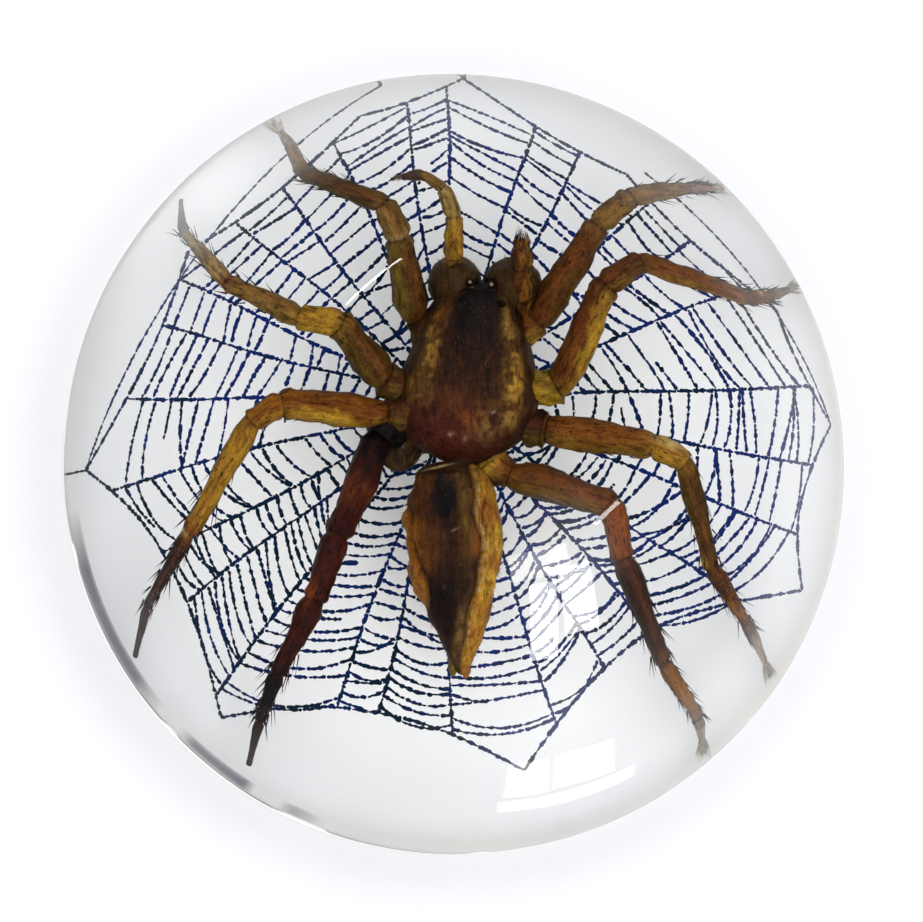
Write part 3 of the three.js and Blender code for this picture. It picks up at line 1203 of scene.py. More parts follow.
    def spines(self) -> list[Spine]:
        """Sets out the stout spines of the leg: for each its root, its heading and its length.

        Returns:
            One spine a row.
        """
        set_out = []
        for number, rows in WHORLS.items():
            if number >= len(self.stretches) or self.bristles[number] is B.BRUSH:
                continue
            start, stop = (np.array(self.joints[number + i], float) for i in (0, 1))
            along, across, upward = directions(stop - start)
            radius = self.stretches[number].middle * 0.88
            turns = (0.15, 0.75, 2.4, 3.0, -0.6, -2.5) if number > 3 else (0.5, 1.5, 2.6)
            for row, (share, size) in enumerate(rows):
                for place, turn in enumerate(turns):
                    bent = turn + 0.25 * math.sin(7 * row + 3 * place + self.seed)
                    outward = math.cos(bent) * across + math.sin(bent) * upward
                    spot = share + 0.02 * math.cos(5 * place + row)
                    root = start + (stop - start) * spot + outward * radius
                    heading = outward * (0.24 + 0.16 * math.sin(9 * row + 5 * place)) + along * 0.95
                    length = size * (0.85 + 0.3 * math.sin(3 * place + 5 * row + self.seed) ** 2)
                    set_out.append((root, unit(heading), length))
        return set_out


@dataclass(frozen=True)
class Section:
    """An oval cross-section of the trunk: where it stands and how far it reaches each way."""

    y: float
    x: float
    z: float
    half: float
    above: float
    below: float


@dataclass
class Trunk:
    """A closed body skin over oval sections from the front to the back, with its ends rounded."""

    name: str
    sections: tuple[Section, ...]
    end_round: float
    rings: int = 130
    sides: int = 120

    def grid(self) -> tuple[Array, Array, Array]:
        """Lays the rings out.

        Returns:
            The points by ring and side, the sides' sines as one row, and each ring's sizes as columns
            of centre X, centre Z, half width, height above and depth below.
        """
        keys = [-s.y for s in self.sections]
        front, back = keys[0] - self.end_round, keys[-1] + self.end_round
        turn = np.linspace(0.02, math.pi - 0.02, self.rings)
        even = np.linspace(0, 1, self.rings) * 0.7
        at = front + (back - front) * (0.3 * (0.5 - 0.5 * np.cos(turn)) + even)
        closing = np.clip(np.minimum(at - front, back - at) / (2 * self.end_round), 0.0005, 1)
        closing = np.sqrt(closing * (2 - closing))
        sizes = np.array([smooth_curve(keys, [getattr(s, part) for s in self.sections], at)
                          for part in ("x", "z", "half", "above", "below")])
        sizes[2:] = np.maximum(sizes[2:], 0.02) * closing
        sizes = sizes[..., None]
        angles = full_turn(self.sides)
        cosine, sine = np.cos(angles), np.sin(angles)
        points = np.stack([
            sizes[0] + sizes[2] * cosine,
            np.repeat(-at[:, None], self.sides, axis=1),
            sizes[1] + np.where(sine > 0, sizes[3], sizes[4]) * sine,
        ], axis=2)
        return points, sine[None, :], sizes

    def closed(self, points: Array, coat: Coat, dotted: float) -> Skin:
        """Closes the rings on two end points and adds the attributes.

        Args:
            points: The points by ring and side.
            coat: The colours by ring and side.
            dotted: How strongly the skin is dotted.

        Returns:
            The closed skin.
        """
        full = np.vstack([points[0].mean(axis=0), points.reshape(-1, 3), points[-1].mean(axis=0)])
        colour = coat.colour.reshape(-1, 3)
        return body_skin(full, self.rings, self.sides, np.concatenate([colour[:1], colour, colour[-1:]]),
                         dotted, (0.0, -1.0, 0.0), B.DOWNY)


def body_skin(points: Array, rings: int, sides: int, pigment: Array, dotted: float, flow: Point,
              bristle: Bristle) -> Skin:
    """Makes a closed skin of the trunk with one flow and one kind of hair all over.

    Args:
        points: The first point, the rings and the last point.
        rings: How many rings there are.
        sides: Points in a ring.
        pigment: The colour at each point.
        dotted: How strongly the skin is dotted.
        flow: Where the hairs lean.
        bristle: How the skin is haired.

    Returns:
        The skin.
    """
    count = len(points)
    return Skin(points, ring_faces(rings, sides), {
        "pigment": pigment, "lie": points[:, [1, 0, 2]], "dotted": np.full(count, dotted),
        "flow": np.tile(flow, (count, 1)), **hair_layers([bristle] * count),
    })


@dataclass
class Carapace(Trunk):
    """The head and thorax shield, with its central pit, its grooves and its pale side bands.

    The grooves that run out from the pit are each a slope and a start, on either side.
    """

    pit: tuple[float, float] = (-0.05, 2.9)
    grooves: tuple[tuple[float, float], ...] = ((0.95, 0.3), (0.35, 0.1), (-0.25, -0.2), (-0.85, -0.5))

    def skin(self) -> Skin:
        """Shapes the shield and colours it.

        Returns:
            The closed skin, with its attributes.
        """
        points, sine, sizes = self.grid()
        x = points[..., 0] - sizes[0]
        y = points[..., 1]
        relief = -0.34 * hump(x, self.pit[0], 0.1) * hump(y, self.pit[1], 0.6)
        for side in (-1, 1):
            line = side * (0.3 + 0.62 * (y - 3.4))
            relief = relief - 0.17 * hump(x, line, 0.14) * (y > 3.2) * (y < 6.3)
            for slope, reach in self.grooves:
                ray = self.pit[1] + slope * np.abs(x) + reach
                relief = relief - 0.1 * hump(y, ray, 0.17) * (x * side > 0.55) * (np.abs(x) < 3.0)
        relief = relief + 0.12 * hump(x, 0.0, 1.1) * (y > 5.0)
        grain, fine = roughened(points, 0.9, 5.0), roughened(points, 3.0, 9.0)
        points[..., 2] += clamped(sine) ** 0.5 * (relief + 0.07 * grain + 0.03 * fine)
        points[..., 0] = sizes[0] + x * (1 + 0.04 * hump(sine, -0.05, 0.14))
        across = x / (sizes[2] + 1e-6)
        return self.closed(points, self._coat(x, y, across, sine, grain, fine), 0.25)

    def _coat(self, x: Array, y: Array, across: Array, sine: Array, grain: Array, fine: Array) -> Coat:
        """Colours the shield, from the black eye field to the reddish rear.

        Args:
            x: Each point's place across from the middle.
            y: Its place along.
            across: Its place across as a share of the half width.
            sine: How far up its side points.
            grain: Coarse noise.
            fine: Fine noise.

        Returns:
            The coat.
        """
        coat = Coat.plain(P.UMBER, x.shape)
        brush = coat.brush
        rough = clamped(0.5 + 1.8 * grain + 1.4 * fine)
        right = hump(across, 0.66, 0.11) * clamped((y - 0.6) / 0.8) * clamped((8.2 - y) / 0.8)
        left = hump(across, -0.78, 0.14) * clamped((y - 2.2) / 0.8) * clamped((7.6 - y) / 1.5)
        brush(P.CHESTNUT, 0.5, hump(y, 2.4, 1.7), 0.6 + 0.8 * grain)
        brush(P.BARK, 0.7, rough, hump(across, 0.35, 0.35), hump(y, 1.5, 1.7))
        brush(P.BARK, 0.55, rough, np.abs(across) > 0.55, y > 2)
        brush(P.WINE, 0.85, hump(y, 0.9, 1.4), clamped(0.75 - 1.3 * across))
        brush(P.WINE, 0.5, hump(y, 0.2, 0.8))
        brush(P.RUST, 0.45, hump(y, 1.5, 0.9), hump(across, -0.1, 0.3), rough)
        brush(P.DRAB, 0.5, hump(y, 1.1, 0.8), hump(across, 0.3, 0.22), clamped(2 * rough - 0.6))
        brush(P.BARK, left)
        brush(P.DRAB, 0.7, left, np.clip(2.4 * rough - 0.9, 0, 0.85))
        brush(P.HONEY, 0.8, left, clamped(2.6 * rough - 1.6))
        brush(P.BARK, right)
        brush(P.DRAB, 0.9, right, clamped(2.0 * rough - 0.5))
        brush(P.HONEY, right, hump(y, 4.0, 1.4), clamped(2.0 * rough - 0.5))
        brush(P.GOLD, 0.8, right, hump(y, 3.6, 0.7), clamped(2.4 * rough - 1.2))
        brush(P.CHESTNUT, 0.6, hump(across, -0.72, 0.1), y > 5.6)
        wedge = clamped((0.5 - np.abs(across + 0.02)) / 0.2) * clamped((y - 2.6) / 1.8)
        brush(P.UMBER, 0.8, wedge)
        brush(P.COAL, wedge, 0.3 + 0.5 * clamped((y - 4.6) / 2.4), 1 + 0.8 * grain)
        for side in (-1, 1):
            brush(P.CHESTNUT, 0.5, hump(x, side * (0.25 + 0.55 * (y - 3.6)), 0.08), hump(y, 4.4, 0.7))
        brush(P.COAL, 0.97, hump(y, 8.3, 1.2), hump(across, 0.0, 0.75))
        brush(P.COAL, 0.5, hump(x, self.pit[0], 0.07), hump(y, self.pit[1], 0.5))
        # small glints: place and size across, place and size along
        glints = ((-0.1, 0.06, 0.5, 0.17), (-0.85, 0.07, 0.7, 0.1), (1.15, 0.08, 1.85, 0.08),
                  (-0.35, 0.07, 8.35, 0.05), (0.72, 0.08, 8.25, 0.05))
        brush(P.ROSE, sum(hump(x, a, b) * hump(y, c, d) for a, b, c, d in glints))
        brush(P.UMBER, 0.9 * hump(across, 0.93, 0.09) + 0.85 * hump(across, -0.96, 0.09))
        brush(P.OLIVE, 0.4, hump(sine, -0.7, 0.5))
        return coat


@dataclass
class Abdomen(Trunk):
    """The shrunken abdomen: a dark shield above and paler folds that bulge out along its sides.

    The shield's edges are given across at a few places along it.
    """

    shield_keys: tuple[float, ...] = (-11.4, -9.9, -8.2, -6.6, -5.3, -3.4, -1.2, -0.5)
    shield_left: tuple[float, ...] = (-0.7, -1.35, -2.15, -2.3, -2.8, -3.05, -2.75, -2.4)
    shield_right: tuple[float, ...] = (-0.25, -0.2, 0.08, 0.5, 0.72, 0.38, 0.22, 0.1)

    def skin(self) -> Skin:
        """Shapes the folds and colours them.

        Returns:
            The closed skin, with its attributes.
        """
        points, sine, sizes = self.grid()
        x, y = points[..., 0].copy(), points[..., 1]
        left = smooth_curve(self.shield_keys, self.shield_left, y) + 0.03 * np.sin(y * 3.1)
        right = smooth_curve(self.shield_keys, self.shield_right, y) + 0.06 * np.sin(y * 2.6 + 1)
        above = 1 / (1 + np.exp(-(sine + 0.1) / 0.05))
        beyond = 1 / (1 + np.exp((x - left - 0.05) / 0.06))
        inside = above / (1 + np.exp(-(right - x) / 0.04)) / (1 + np.exp(-(x - left) / 0.04))
        grain, fine = roughened(points, 0.8, 21.0), roughened(points, 2.6, 27.0)
        crease = hump(x - right, 0.0, 0.09) + 0.8 * hump(x - left, 0.04, 0.09)
        fold = clamped((x - right) / 0.9) * (1 + 0.3 * np.sin(y * 3.1 + 1.0 + 1.5 * grain))
        furrow = hump(x, right + 0.42 + 0.12 * np.sin(2.1 * y), 0.07) * hump(y, -3.4, 1.5)
        rim = hump(x, right + 1.05 - 0.05 * np.sin(3 * y), 0.08) * hump(y, -6.0, 1.6)
        lobes = clamped(hump(y, -3.0, 0.9) + hump(y, -6.1, 1.35))
        shift = above * (-0.34 * crease - 0.22 * furrow - 0.18 * rim) - 0.3 * beyond * (1 - lobes)
        shift = shift + 0.16 * fold * hump(sine, 0.8, 0.5)
        shift = shift - 0.34 * clamped((x - right) / 1.2) * hump(sine, 0.0, 0.6)
        shift = shift + 0.07 * grain + 0.05 * fine + 0.06 * np.sin(y * 5 + 2 * grain) * (sine < 0.1)
        shift = shift - 0.14 * above * hump(x, -1.25, 0.45) * hump(y, -5.5, 4.0)
        outward = np.stack([x - sizes[0], np.zeros_like(x), points[..., 2] - sizes[1]], axis=2)
        outward /= np.linalg.norm(outward, axis=2)[..., None] + 1e-6
        points += outward * (shift * np.clip(sizes[2] / 2.4, 0.15, 1))[..., None]
        coat = Coat.plain(P.AMBER, x.shape)
        brush = coat.brush
        brush(P.HONEY, clamped(0.6 + 1.8 * grain + fine), x > right)
        brush(P.GOLD, clamped(0.45 + 1.6 * grain), hump(y, -5.2, 2.8), x > right + 0.25)
        brush(P.CREAM, 0.5, hump(x - right, 0.14, 0.05), y < -1.2, y > -10, clamped(0.6 + 2 * fine))
        brush(P.BARK, 0.75, x > right, hump(y, -1.3, 0.9), clamped(0.7 + 2 * fine))
        brush(P.TAWNY, 0.8, hump(x - right, 1.3, 0.28), hump(y, -7.6, 2.4))
        brush(P.RUST, 0.95 * furrow + 0.8 * rim + 0.3 * clamped(2.5 * fine - 0.2))
        brush(P.UMBER, 0.6, furrow)
        brush(P.UMBER, 0.7, hump(x - right, 1.35, 0.13), hump(y, -7.6, 1.2))
        brush(P.AMBER, 0.9, beyond)
        brush(P.RUST, 0.55, beyond, clamped(0.3 + 1.5 * grain))
        brush(P.OLIVE, 0.6, hump(sine, -0.7, 0.5))
        self._shield(coat, x, y, x - left, x - right, inside, grain, fine)
        brush(P.COAL, 0.85, above, hump(x - right, -0.03, 0.06), y > -8)
        brush(P.UMBER, 0.9, above, hump(x - left, 0.05, 0.06), y > -10)
        brush(P.UMBER, 0.85, above, hump(y, -0.75, 0.35), x < 0.2)
        # painted highlight: a thin cream arc at the abdomen's front, where the carapace's rear rim catches
        # the light
        brush(P.CREAM, 0.95, above, hump(x, -1.55, 0.6), hump(y - 0.25 * (x + 1.5), -0.88, 0.045))
        brush(P.COAL, 0.7, above, hump(y, -1.15, 0.12), x < 0.1)
        # painted highlights: two small glints on the shield, a pale one in front and a grey one near the back
        brush(P.ASH, 0.8, above, hump(x, -0.78, 0.13), hump(y - 0.5 * (x + 0.78), -4.15, 0.05))
        brush(P.SMOKE, 0.9, above, hump(x, -1.3, 0.07), hump(y, -7.1, 0.1))
        return self.closed(points, coat, 0.1)

    @staticmethod
    def _shield(coat: Coat, x: Array, y: Array, from_left: Array, from_right: Array, inside: Array,
                grain: Array, fine: Array) -> None:
        """Colours the dark shield and the mark over the heart.

        Args:
            coat: The coat that is brushed on.
            x: Each point's place across.
            y: Its place along.
            from_left: How far right of the shield's left edge it is.
            from_right: How far right of the shield's right edge it is.
            inside: 1 on the shield and 0 off it.
            grain: Coarse noise.
            fine: Fine noise.
        """
        brush = coat.brush
        rough = clamped(0.6 + 1.4 * grain + 0.6 * fine)
        brush(P.UMBER, inside)
        brush(P.CHESTNUT, 0.6, inside, clamped((y + 6.6) / 1.6), 0.3 + 0.6 * rough)
        brush(P.TAWNY, 0.75, inside, hump(from_left, 0.42, 0.3), hump(y, -4.4, 1.9), 0.4 + 0.6 * rough)
        brush(P.AMBER, 0.45, inside, hump(from_left, 0.3, 0.16), hump(y, -4.6, 1.1), rough)
        brush(P.BARK, 0.9, inside, hump(from_right, -0.65, 0.32), hump(y, -3.0, 2.2))
        brush(P.OLIVE, 0.5, inside, hump(from_right, -0.62, 0.25), hump(y, -3.2, 1.7), rough)
        brush(P.BARK, 0.7, inside, hump(from_right, -0.95, 0.35), hump(y, -5.9, 0.8), rough)
        brush(P.RUST, 0.6, inside, hump(from_right, -0.35, 0.25), hump(y, -5.4, 1.3), rough)
        brush(P.UMBER, 0.9, inside, hump(x, -1.0, 0.6), hump(y, -4.6, 1.6))
        reach = ((x + 1.3) / 0.66) ** 2 + ((y + 2.5) / 1.4) ** 2
        brush(P.COAL, 0.97, inside, clamped((1.5 - reach + 0.5 * fine) * 0.95))
        brush(P.COAL, 0.9, inside, clamped(1.3 * hump(x, -1.35, 0.55) * hump(y, -7.3, 0.8)))
        brush(P.COAL, 0.55, inside, hump(y, -8.8, 1.4))
        brush(P.DRAB, 0.6, inside, hump(from_right, -0.32, 0.24), hump(y, -9.4, 1.5))


@dataclass(frozen=True)
class Lump:
    """A rounded part of the trunk: a jaw, the breast plate, the waist or a spinneret."""

    name: str
    centre: Point
    radii: Point
    pigment: Pigment
    under: Pigment
    bristle: Bristle = B.DOWNY
    sides: int = 48
    seed: float = 0.0

    def skin(self) -> Skin:
        """Makes the lump, slightly dented.

        Returns:
            The closed skin, with its attributes.
        """
        rings = self.sides // 2
        tilt = np.linspace(0, math.pi, rings + 2)[1:-1]
        angles = full_turn(self.sides)
        ball = np.stack([np.outer(np.sin(tilt), np.cos(angles)), np.outer(np.sin(tilt), np.sin(angles)),
                         np.repeat(-np.cos(tilt)[:, None], self.sides, axis=1)], axis=2).reshape(-1, 3)
        ball = np.vstack([[0, 0, -1], ball, [0, 0, 1]])
        points = ball * np.array(self.radii) + np.array(self.centre)
        dent = roughened(points, 0.9, self.seed + 40) * 0.08 + roughened(points, 2.8, self.seed + 47) * 0.04
        points = points + ball * (dent * min(self.radii))[:, None]
        coat = Coat.plain(self.pigment, (len(points),))
        coat.brush(self.under, clamped(-ball[:, 2] * 1.2 + 0.2) + 6 * dent)
        return body_skin(points, rings, self.sides, coat.colour, 0.3, (0.0, 0.9, -0.3), self.bristle)


class HairTree:
    """The geometry nodes that stand hairs on a surface, or spines on single points."""

    shortest = 0.55
    longest = 1.15

    def __init__(self, name: str, growing: str | None, seed: int) -> None:
        """Builds the tree.

        Args:
            name: The tree's name, which the grown mesh takes too.
            growing: The attribute with the hairs' number in a square millimetre; with None each of the
                host's points carries one spine.
            seed: The seed of the scatter and of the hairs' unevenness.
        """
        self.name = name
        self.seed = seed
        self.tree = bpy.data.node_groups.new(name, "GeometryNodeTree")
        self.graph = Graph(self.tree)
        kinds = {"Geometry": "Geometry", "Length": "Float", "Thickness": "Float", "Lean": "Float",
                 "Scatter": "Float", "Material": "Material"}
        for label, kind in kinds.items():
            self.tree.interface.new_socket(label, in_out="INPUT", socket_type=f"NodeSocket{kind}")
        self.tree.interface.new_socket("Geometry", in_out="OUTPUT", socket_type="NodeSocketGeometry")
        self.given = self.graph.node("NodeGroupInput").outputs
        points, outward = self._surface_points(growing) if growing else (self.given["Geometry"], None)
        self._grow(points, outward)

    def _named(self, label: str, kind: str) -> Signal:
        """Reads one of the host mesh's attributes."""
        return self.graph.read("Attribute", "GeometryNodeInputNamedAttribute", {"data_type": kind},
                               {"Name": label})

    def _random(self, output: int, kind: str, seed: int, low: Any, high: Any) -> Signal:
        """A seeded random value between two limits, whose sockets stand at twice the output's place."""
        return self.graph.read(output, "FunctionNodeRandomValue", {"data_type": kind},
                               {2 * output: low, 2 * output + 1: high, "Seed": seed})

    def _surface_points(self, growing: str) -> tuple[Socket, Socket]:
        """Scatters points over the faces, as many as the host's attribute asks for.

        Args:
            growing: The attribute's name.

        Returns:
            The points and the directions outward.
        """
        density = self._named(growing, "FLOAT") * (1 / MM**2)
        made = self.graph.node("GeometryNodeDistributePointsOnFaces", {"distribute_method": "RANDOM"},
                               {"Mesh": self.given["Geometry"], "Density": density, "Seed": self.seed})
        return made.outputs["Points"], made.outputs["Normal"]

    def _grow(self, points: Socket, outward: Socket | None) -> None:
        """Stands one tapering hair on each point and writes the result out.

        Args:
            points: The points.
            outward: The directions outward, if the points lie on faces.
        """
        g, given = self.graph, self.given
        stray = self._random(0, "FLOAT_VECTOR", self.seed + 1, (-1, -1, -1), (1, 1, 1))
        stray = g.vector("SCALE", {0: stray, "Scale": given["Scatter"]})
        heading = g.vector("SCALE", {0: self._named("flow", "FLOAT_VECTOR"), "Scale": given["Lean"]})
        heading = g.vector("ADD", {0: heading, 1: stray})
        if outward is not None:
            heading = g.vector("ADD", {0: heading, 1: outward})
        turned = g.read(0, "FunctionNodeAlignRotationToVector", {"axis": "Z"}, {"Vector": heading})
        uneven = self._random(1, "FLOAT", self.seed + 2, self.shortest, self.longest)
        length = self._named("hair_size", "FLOAT") * uneven * given["Length"]
        thick = given["Thickness"]
        scale = g.read(0, "ShaderNodeCombineXYZ", None, {"X": thick, "Y": thick, "Z": length})
        cone = g.read("Mesh", "GeometryNodeMeshCone", {"fill_type": "NGON"},
                      {"Vertices": 3, "Radius Top": 0.0, "Radius Bottom": 1.0, "Depth": 1.0})
        grown = g.read(0, "GeometryNodeInstanceOnPoints", None, {
            "Points": points, "Instance": cone, "Rotation": turned, "Scale": scale})
        real = g.read(0, "GeometryNodeRealizeInstances", None, {"Geometry": grown})
        worn = g.read(0, "GeometryNodeSetMaterial", None, {"Geometry": real, "Material": given["Material"]})
        g.node("NodeGroupOutput", inputs={"Geometry": worn})

    def grow(self, host: Mesh, material: Material, length: float, thickness: float, lean: float,
             scatter: float) -> Mesh:
        """Runs the tree on a host mesh and keeps the result as a plain mesh.

        Args:
            host: The mesh that carries the hairs.
            material: The hairs' material.
            length: What the host's hair lengths are multiplied by.
            thickness: The radius of a hair at its root, in millimetres.
            lean: How strongly hairs follow the host's flow.
            scatter: How unevenly they point.

        Returns:
            The hairs alone, as a plain mesh.
        """
        carrier = bpy.data.objects.new(self.name + "_carrier", host)
        bpy.context.scene.collection.objects.link(carrier)
        modifier = carrier.modifiers.new("hairs", "NODES")
        modifier.node_group = self.tree
        values = {"Length": length * MM, "Thickness": thickness * MM, "Lean": lean, "Scatter": scatter,
                  "Material": material}
        for item in self.tree.interface.items_tree:
            if item.in_out == "INPUT" and item.name in values:
                modifier[item.identifier] = values[item.name]
        bpy.context.view_layer.update()
        grown = carrier.evaluated_get(bpy.context.evaluated_depsgraph_get())
        made = bpy.data.meshes.new_from_object(grown)
        made.name = self.name
        carrier.modifiers.clear()
        bpy.data.objects.remove(carrier)
        if not made.materials:
            made.materials.append(material)
        for layer in [a.name for a in made.attributes if a.name in HOST_LAYERS]:
            made.attributes.remove(made.attributes[layer])
        return made


def point_mesh(name: str, spines: Sequence[Spine]) -> Mesh:
    """Makes a mesh of loose points that carry a spine each: its root, its heading and its length."""
    roots, headings, lengths = (np.array(part) for part in zip(*spines))
    return Skin(roots, [], {"flow": headings, "hair_size": lengths}).mesh(name, [], HOST_LAYERS)


LEG_JOINTS: dict[str, tuple[Point, ...]] = {
    "left_first": ((-1.7, 5.8, 6), (-2.6, 6.7, 6.2), (-3.7, 11.1, 8.4), (-4.5, 13.1, 8.4),
                   (-8.6, 15.1, 5.6), (-9.3, 17, 4), (-10, 18.3, 2.8)),
    "left_second": ((-3.1, 3.3, 6), (-4.2, 3.6, 6.2), (-6.8, 6.5, 8.4), (-8.9, 6.8, 8.2),
                    (-12.4, 8.9, 5.4), (-15, 12.2, 3.4), (-15.2, 14.2, 2.6)),
    "left_third": ((-2.7, 1.8, 6), (-4.1, 1.8, 6.2), (-9.8, 2.3, 8.2), (-11.3, 1.4, 8),
                   (-14.3, -4.2, 5.2), (-16.7, -8.1, 3.4), (-17.6, -10.9, 2.6)),
    "left_fourth": ((-3.2, 1.4, 5.8), (-4.4, 0.6, 6), (-6.7, -4.5, 7.8), (-7.9, -7.8, 7.3),
                    (-9.7, -11.5, 5.2), (-10.6, -14, 3.6), (-11.3, -16.6, 2.6)),
    "right_first": ((2.7, 5.9, 6), (3.5, 6.6, 6.2), (7, 12.2, 8.2), (9, 14.1, 7.9),
                    (12.6, 15.1, 5.2), (14, 15.3, 3.9), (14.6, 15.3, 3.1)),
    "right_second": ((3.2, 3.1, 6), (4.6, 3.2, 6.2), (7.2, 8.8, 8.4), (9.2, 10.2, 8.2),
                     (15.3, 8.6, 4.8), (17, 9, 3.6), (18.7, 9.8, 2.7)),
    "right_third": ((2.9, 1.3, 6), (4, 1.1, 6.2), (9.6, 0.3, 8), (11.3, -0.5, 7.8),
                    (12.8, -5.7, 5.2), (15.5, -9.1, 3.6), (17, -11.4, 2.6)),
    "right_fourth": ((1.3, -0.5, 5.8), (2.2, -1.1, 6), (7.3, -2.7, 7.4), (8, -5.5, 7.4),
                     (10.4, -10.7, 5), (12.9, -13.9, 3.4), (13.4, -15.6, 2.6)),
}
LEG_PIGMENTS: dict[str, tuple[Pigment, ...]] = {
    "left_first": (P.OLIVE, P.UMBER, P.BARK, P.DRAB, P.BARK, P.DRAB, P.ASH),
    "left_second": (P.OLIVE, P.BARK, P.BARK, P.HONEY, P.DRAB, P.SAND, P.SMOKE),
    "left_third": (P.UMBER, P.UMBER, P.TAWNY, P.AMBER, P.HONEY, P.UMBER, P.SMOKE),
    "left_fourth": (P.COAL, P.COAL, P.WINE, P.WINE, P.WINE, P.COAL, P.UMBER),
    "right_first": (P.OLIVE, P.CHESTNUT, P.CHESTNUT, P.DRAB, P.DRAB, P.ROSE, P.ASH),
    "right_second": (P.OLIVE, P.OLIVE, P.CHESTNUT, P.CHESTNUT, P.TAWNY, P.TAWNY, P.ROSE),
    "right_third": (P.OLIVE, P.UMBER, P.TAWNY, P.HONEY, P.BARK, P.CHESTNUT, P.ASH),
    "right_fourth": (P.OLIVE, P.CHESTNUT, P.CHESTNUT, P.RUST, P.UMBER, P.AMBER, P.ASH),
}
# how strongly each segment's pale side shows, partly painted light
LEG_PALENESS: dict[str, tuple[float, ...]] = {
    "left_first": (0.6, 0.2, 0.9, 0.2, 0.3, 0.1, 0.0),
    "left_second": (0.6, 0.4, 0.5, 0.5, 0.5, 0.3, 0.0),
    "left_third": (0.2, 0.3, 1.0, 0.5, 0.6, 0.0, 0.0),
    "left_fourth": (),
    "right_first": (0.8, 0.7, 0.3, 0.3, 0.2, 0.0, 0.0),
    "right_second": (0.8, 0.8, 0.9, 0.3, 0.5, 0.0, 0.0),
    "right_third": (0.6, 0.5, 0.8, 0.6, 0.4, 0.1, 0.0),
    "right_fourth": (0.4, 0.3, 0.65, 0.1, 0.1, 0.2, 0.0),
}
LEG_MARKS: dict[str, tuple[Mark, ...]] = {
    "left_first": (Mark(1.0, 0.3, P.GOLD, 0.5, -1), Mark(3.1, 0.1, P.SAND, 0.5),
                   Mark(6.0, 0.1, P.UMBER, 0.6, -1)),
    "left_second": (Mark(5.0, 0.1, P.RUST, 0.6), Mark(3.5, 0.4, P.GOLD, 0.4),
                    Mark(6.3, 0.5, P.SMOKE, 0.55)),
    "left_third": (Mark(4.98, 0.1, P.RUST, 0.9), Mark(5.02, 0.03, P.CREAM, 0.6, 1),
                   Mark(6.1, 0.7, P.SMOKE, 0.8)),
    "left_fourth": (Mark(2.0, 0.34, P.COAL, 1.3), Mark(3.93, 0.14, P.RUST, 0.8, 1),
                    Mark(2.6, 0.1, P.RUST, 0.4), Mark(4.9, 0.1, P.COAL, 0.5)),
    "right_first": (Mark(1.4, 0.3, P.GOLD, 0.6, 1), Mark(5.0, 0.08, P.CHESTNUT, 0.6),
                    Mark(6.0, 0.1, P.BARK, 0.5)),
    "right_second": (Mark(1.3, 0.35, P.GOLD, 0.7, 1), Mark(5.5, 0.06, P.CREAM, 0.6, -1),
                     Mark(5.8, 0.1, P.UMBER, 0.5)),
    "right_third": (Mark(3.4, 0.3, P.CREAM, 0.5, -1), Mark(4.93, 0.05, P.GOLD, 0.8, 1),
                    Mark(5.6, 0.2, P.AMBER, 0.6)),
    "right_fourth": (Mark(1.2, 0.3, P.GOLD, 0.6), Mark(5.02, 0.06, P.COAL, 0.95),
                     Mark(5.5, 0.3, P.AMBER, 0.6), Mark(6.0, 0.08, P.UMBER, 0.6)),
}
THIN_TIPPED = ("left_second", "left_third", "left_fourth")


def sections(*sizes: Sequence[float]) -> tuple[Section, ...]:
    """Cross-sections of the trunk from their six sizes each."""
    return tuple(Section(*six) for six in sizes)


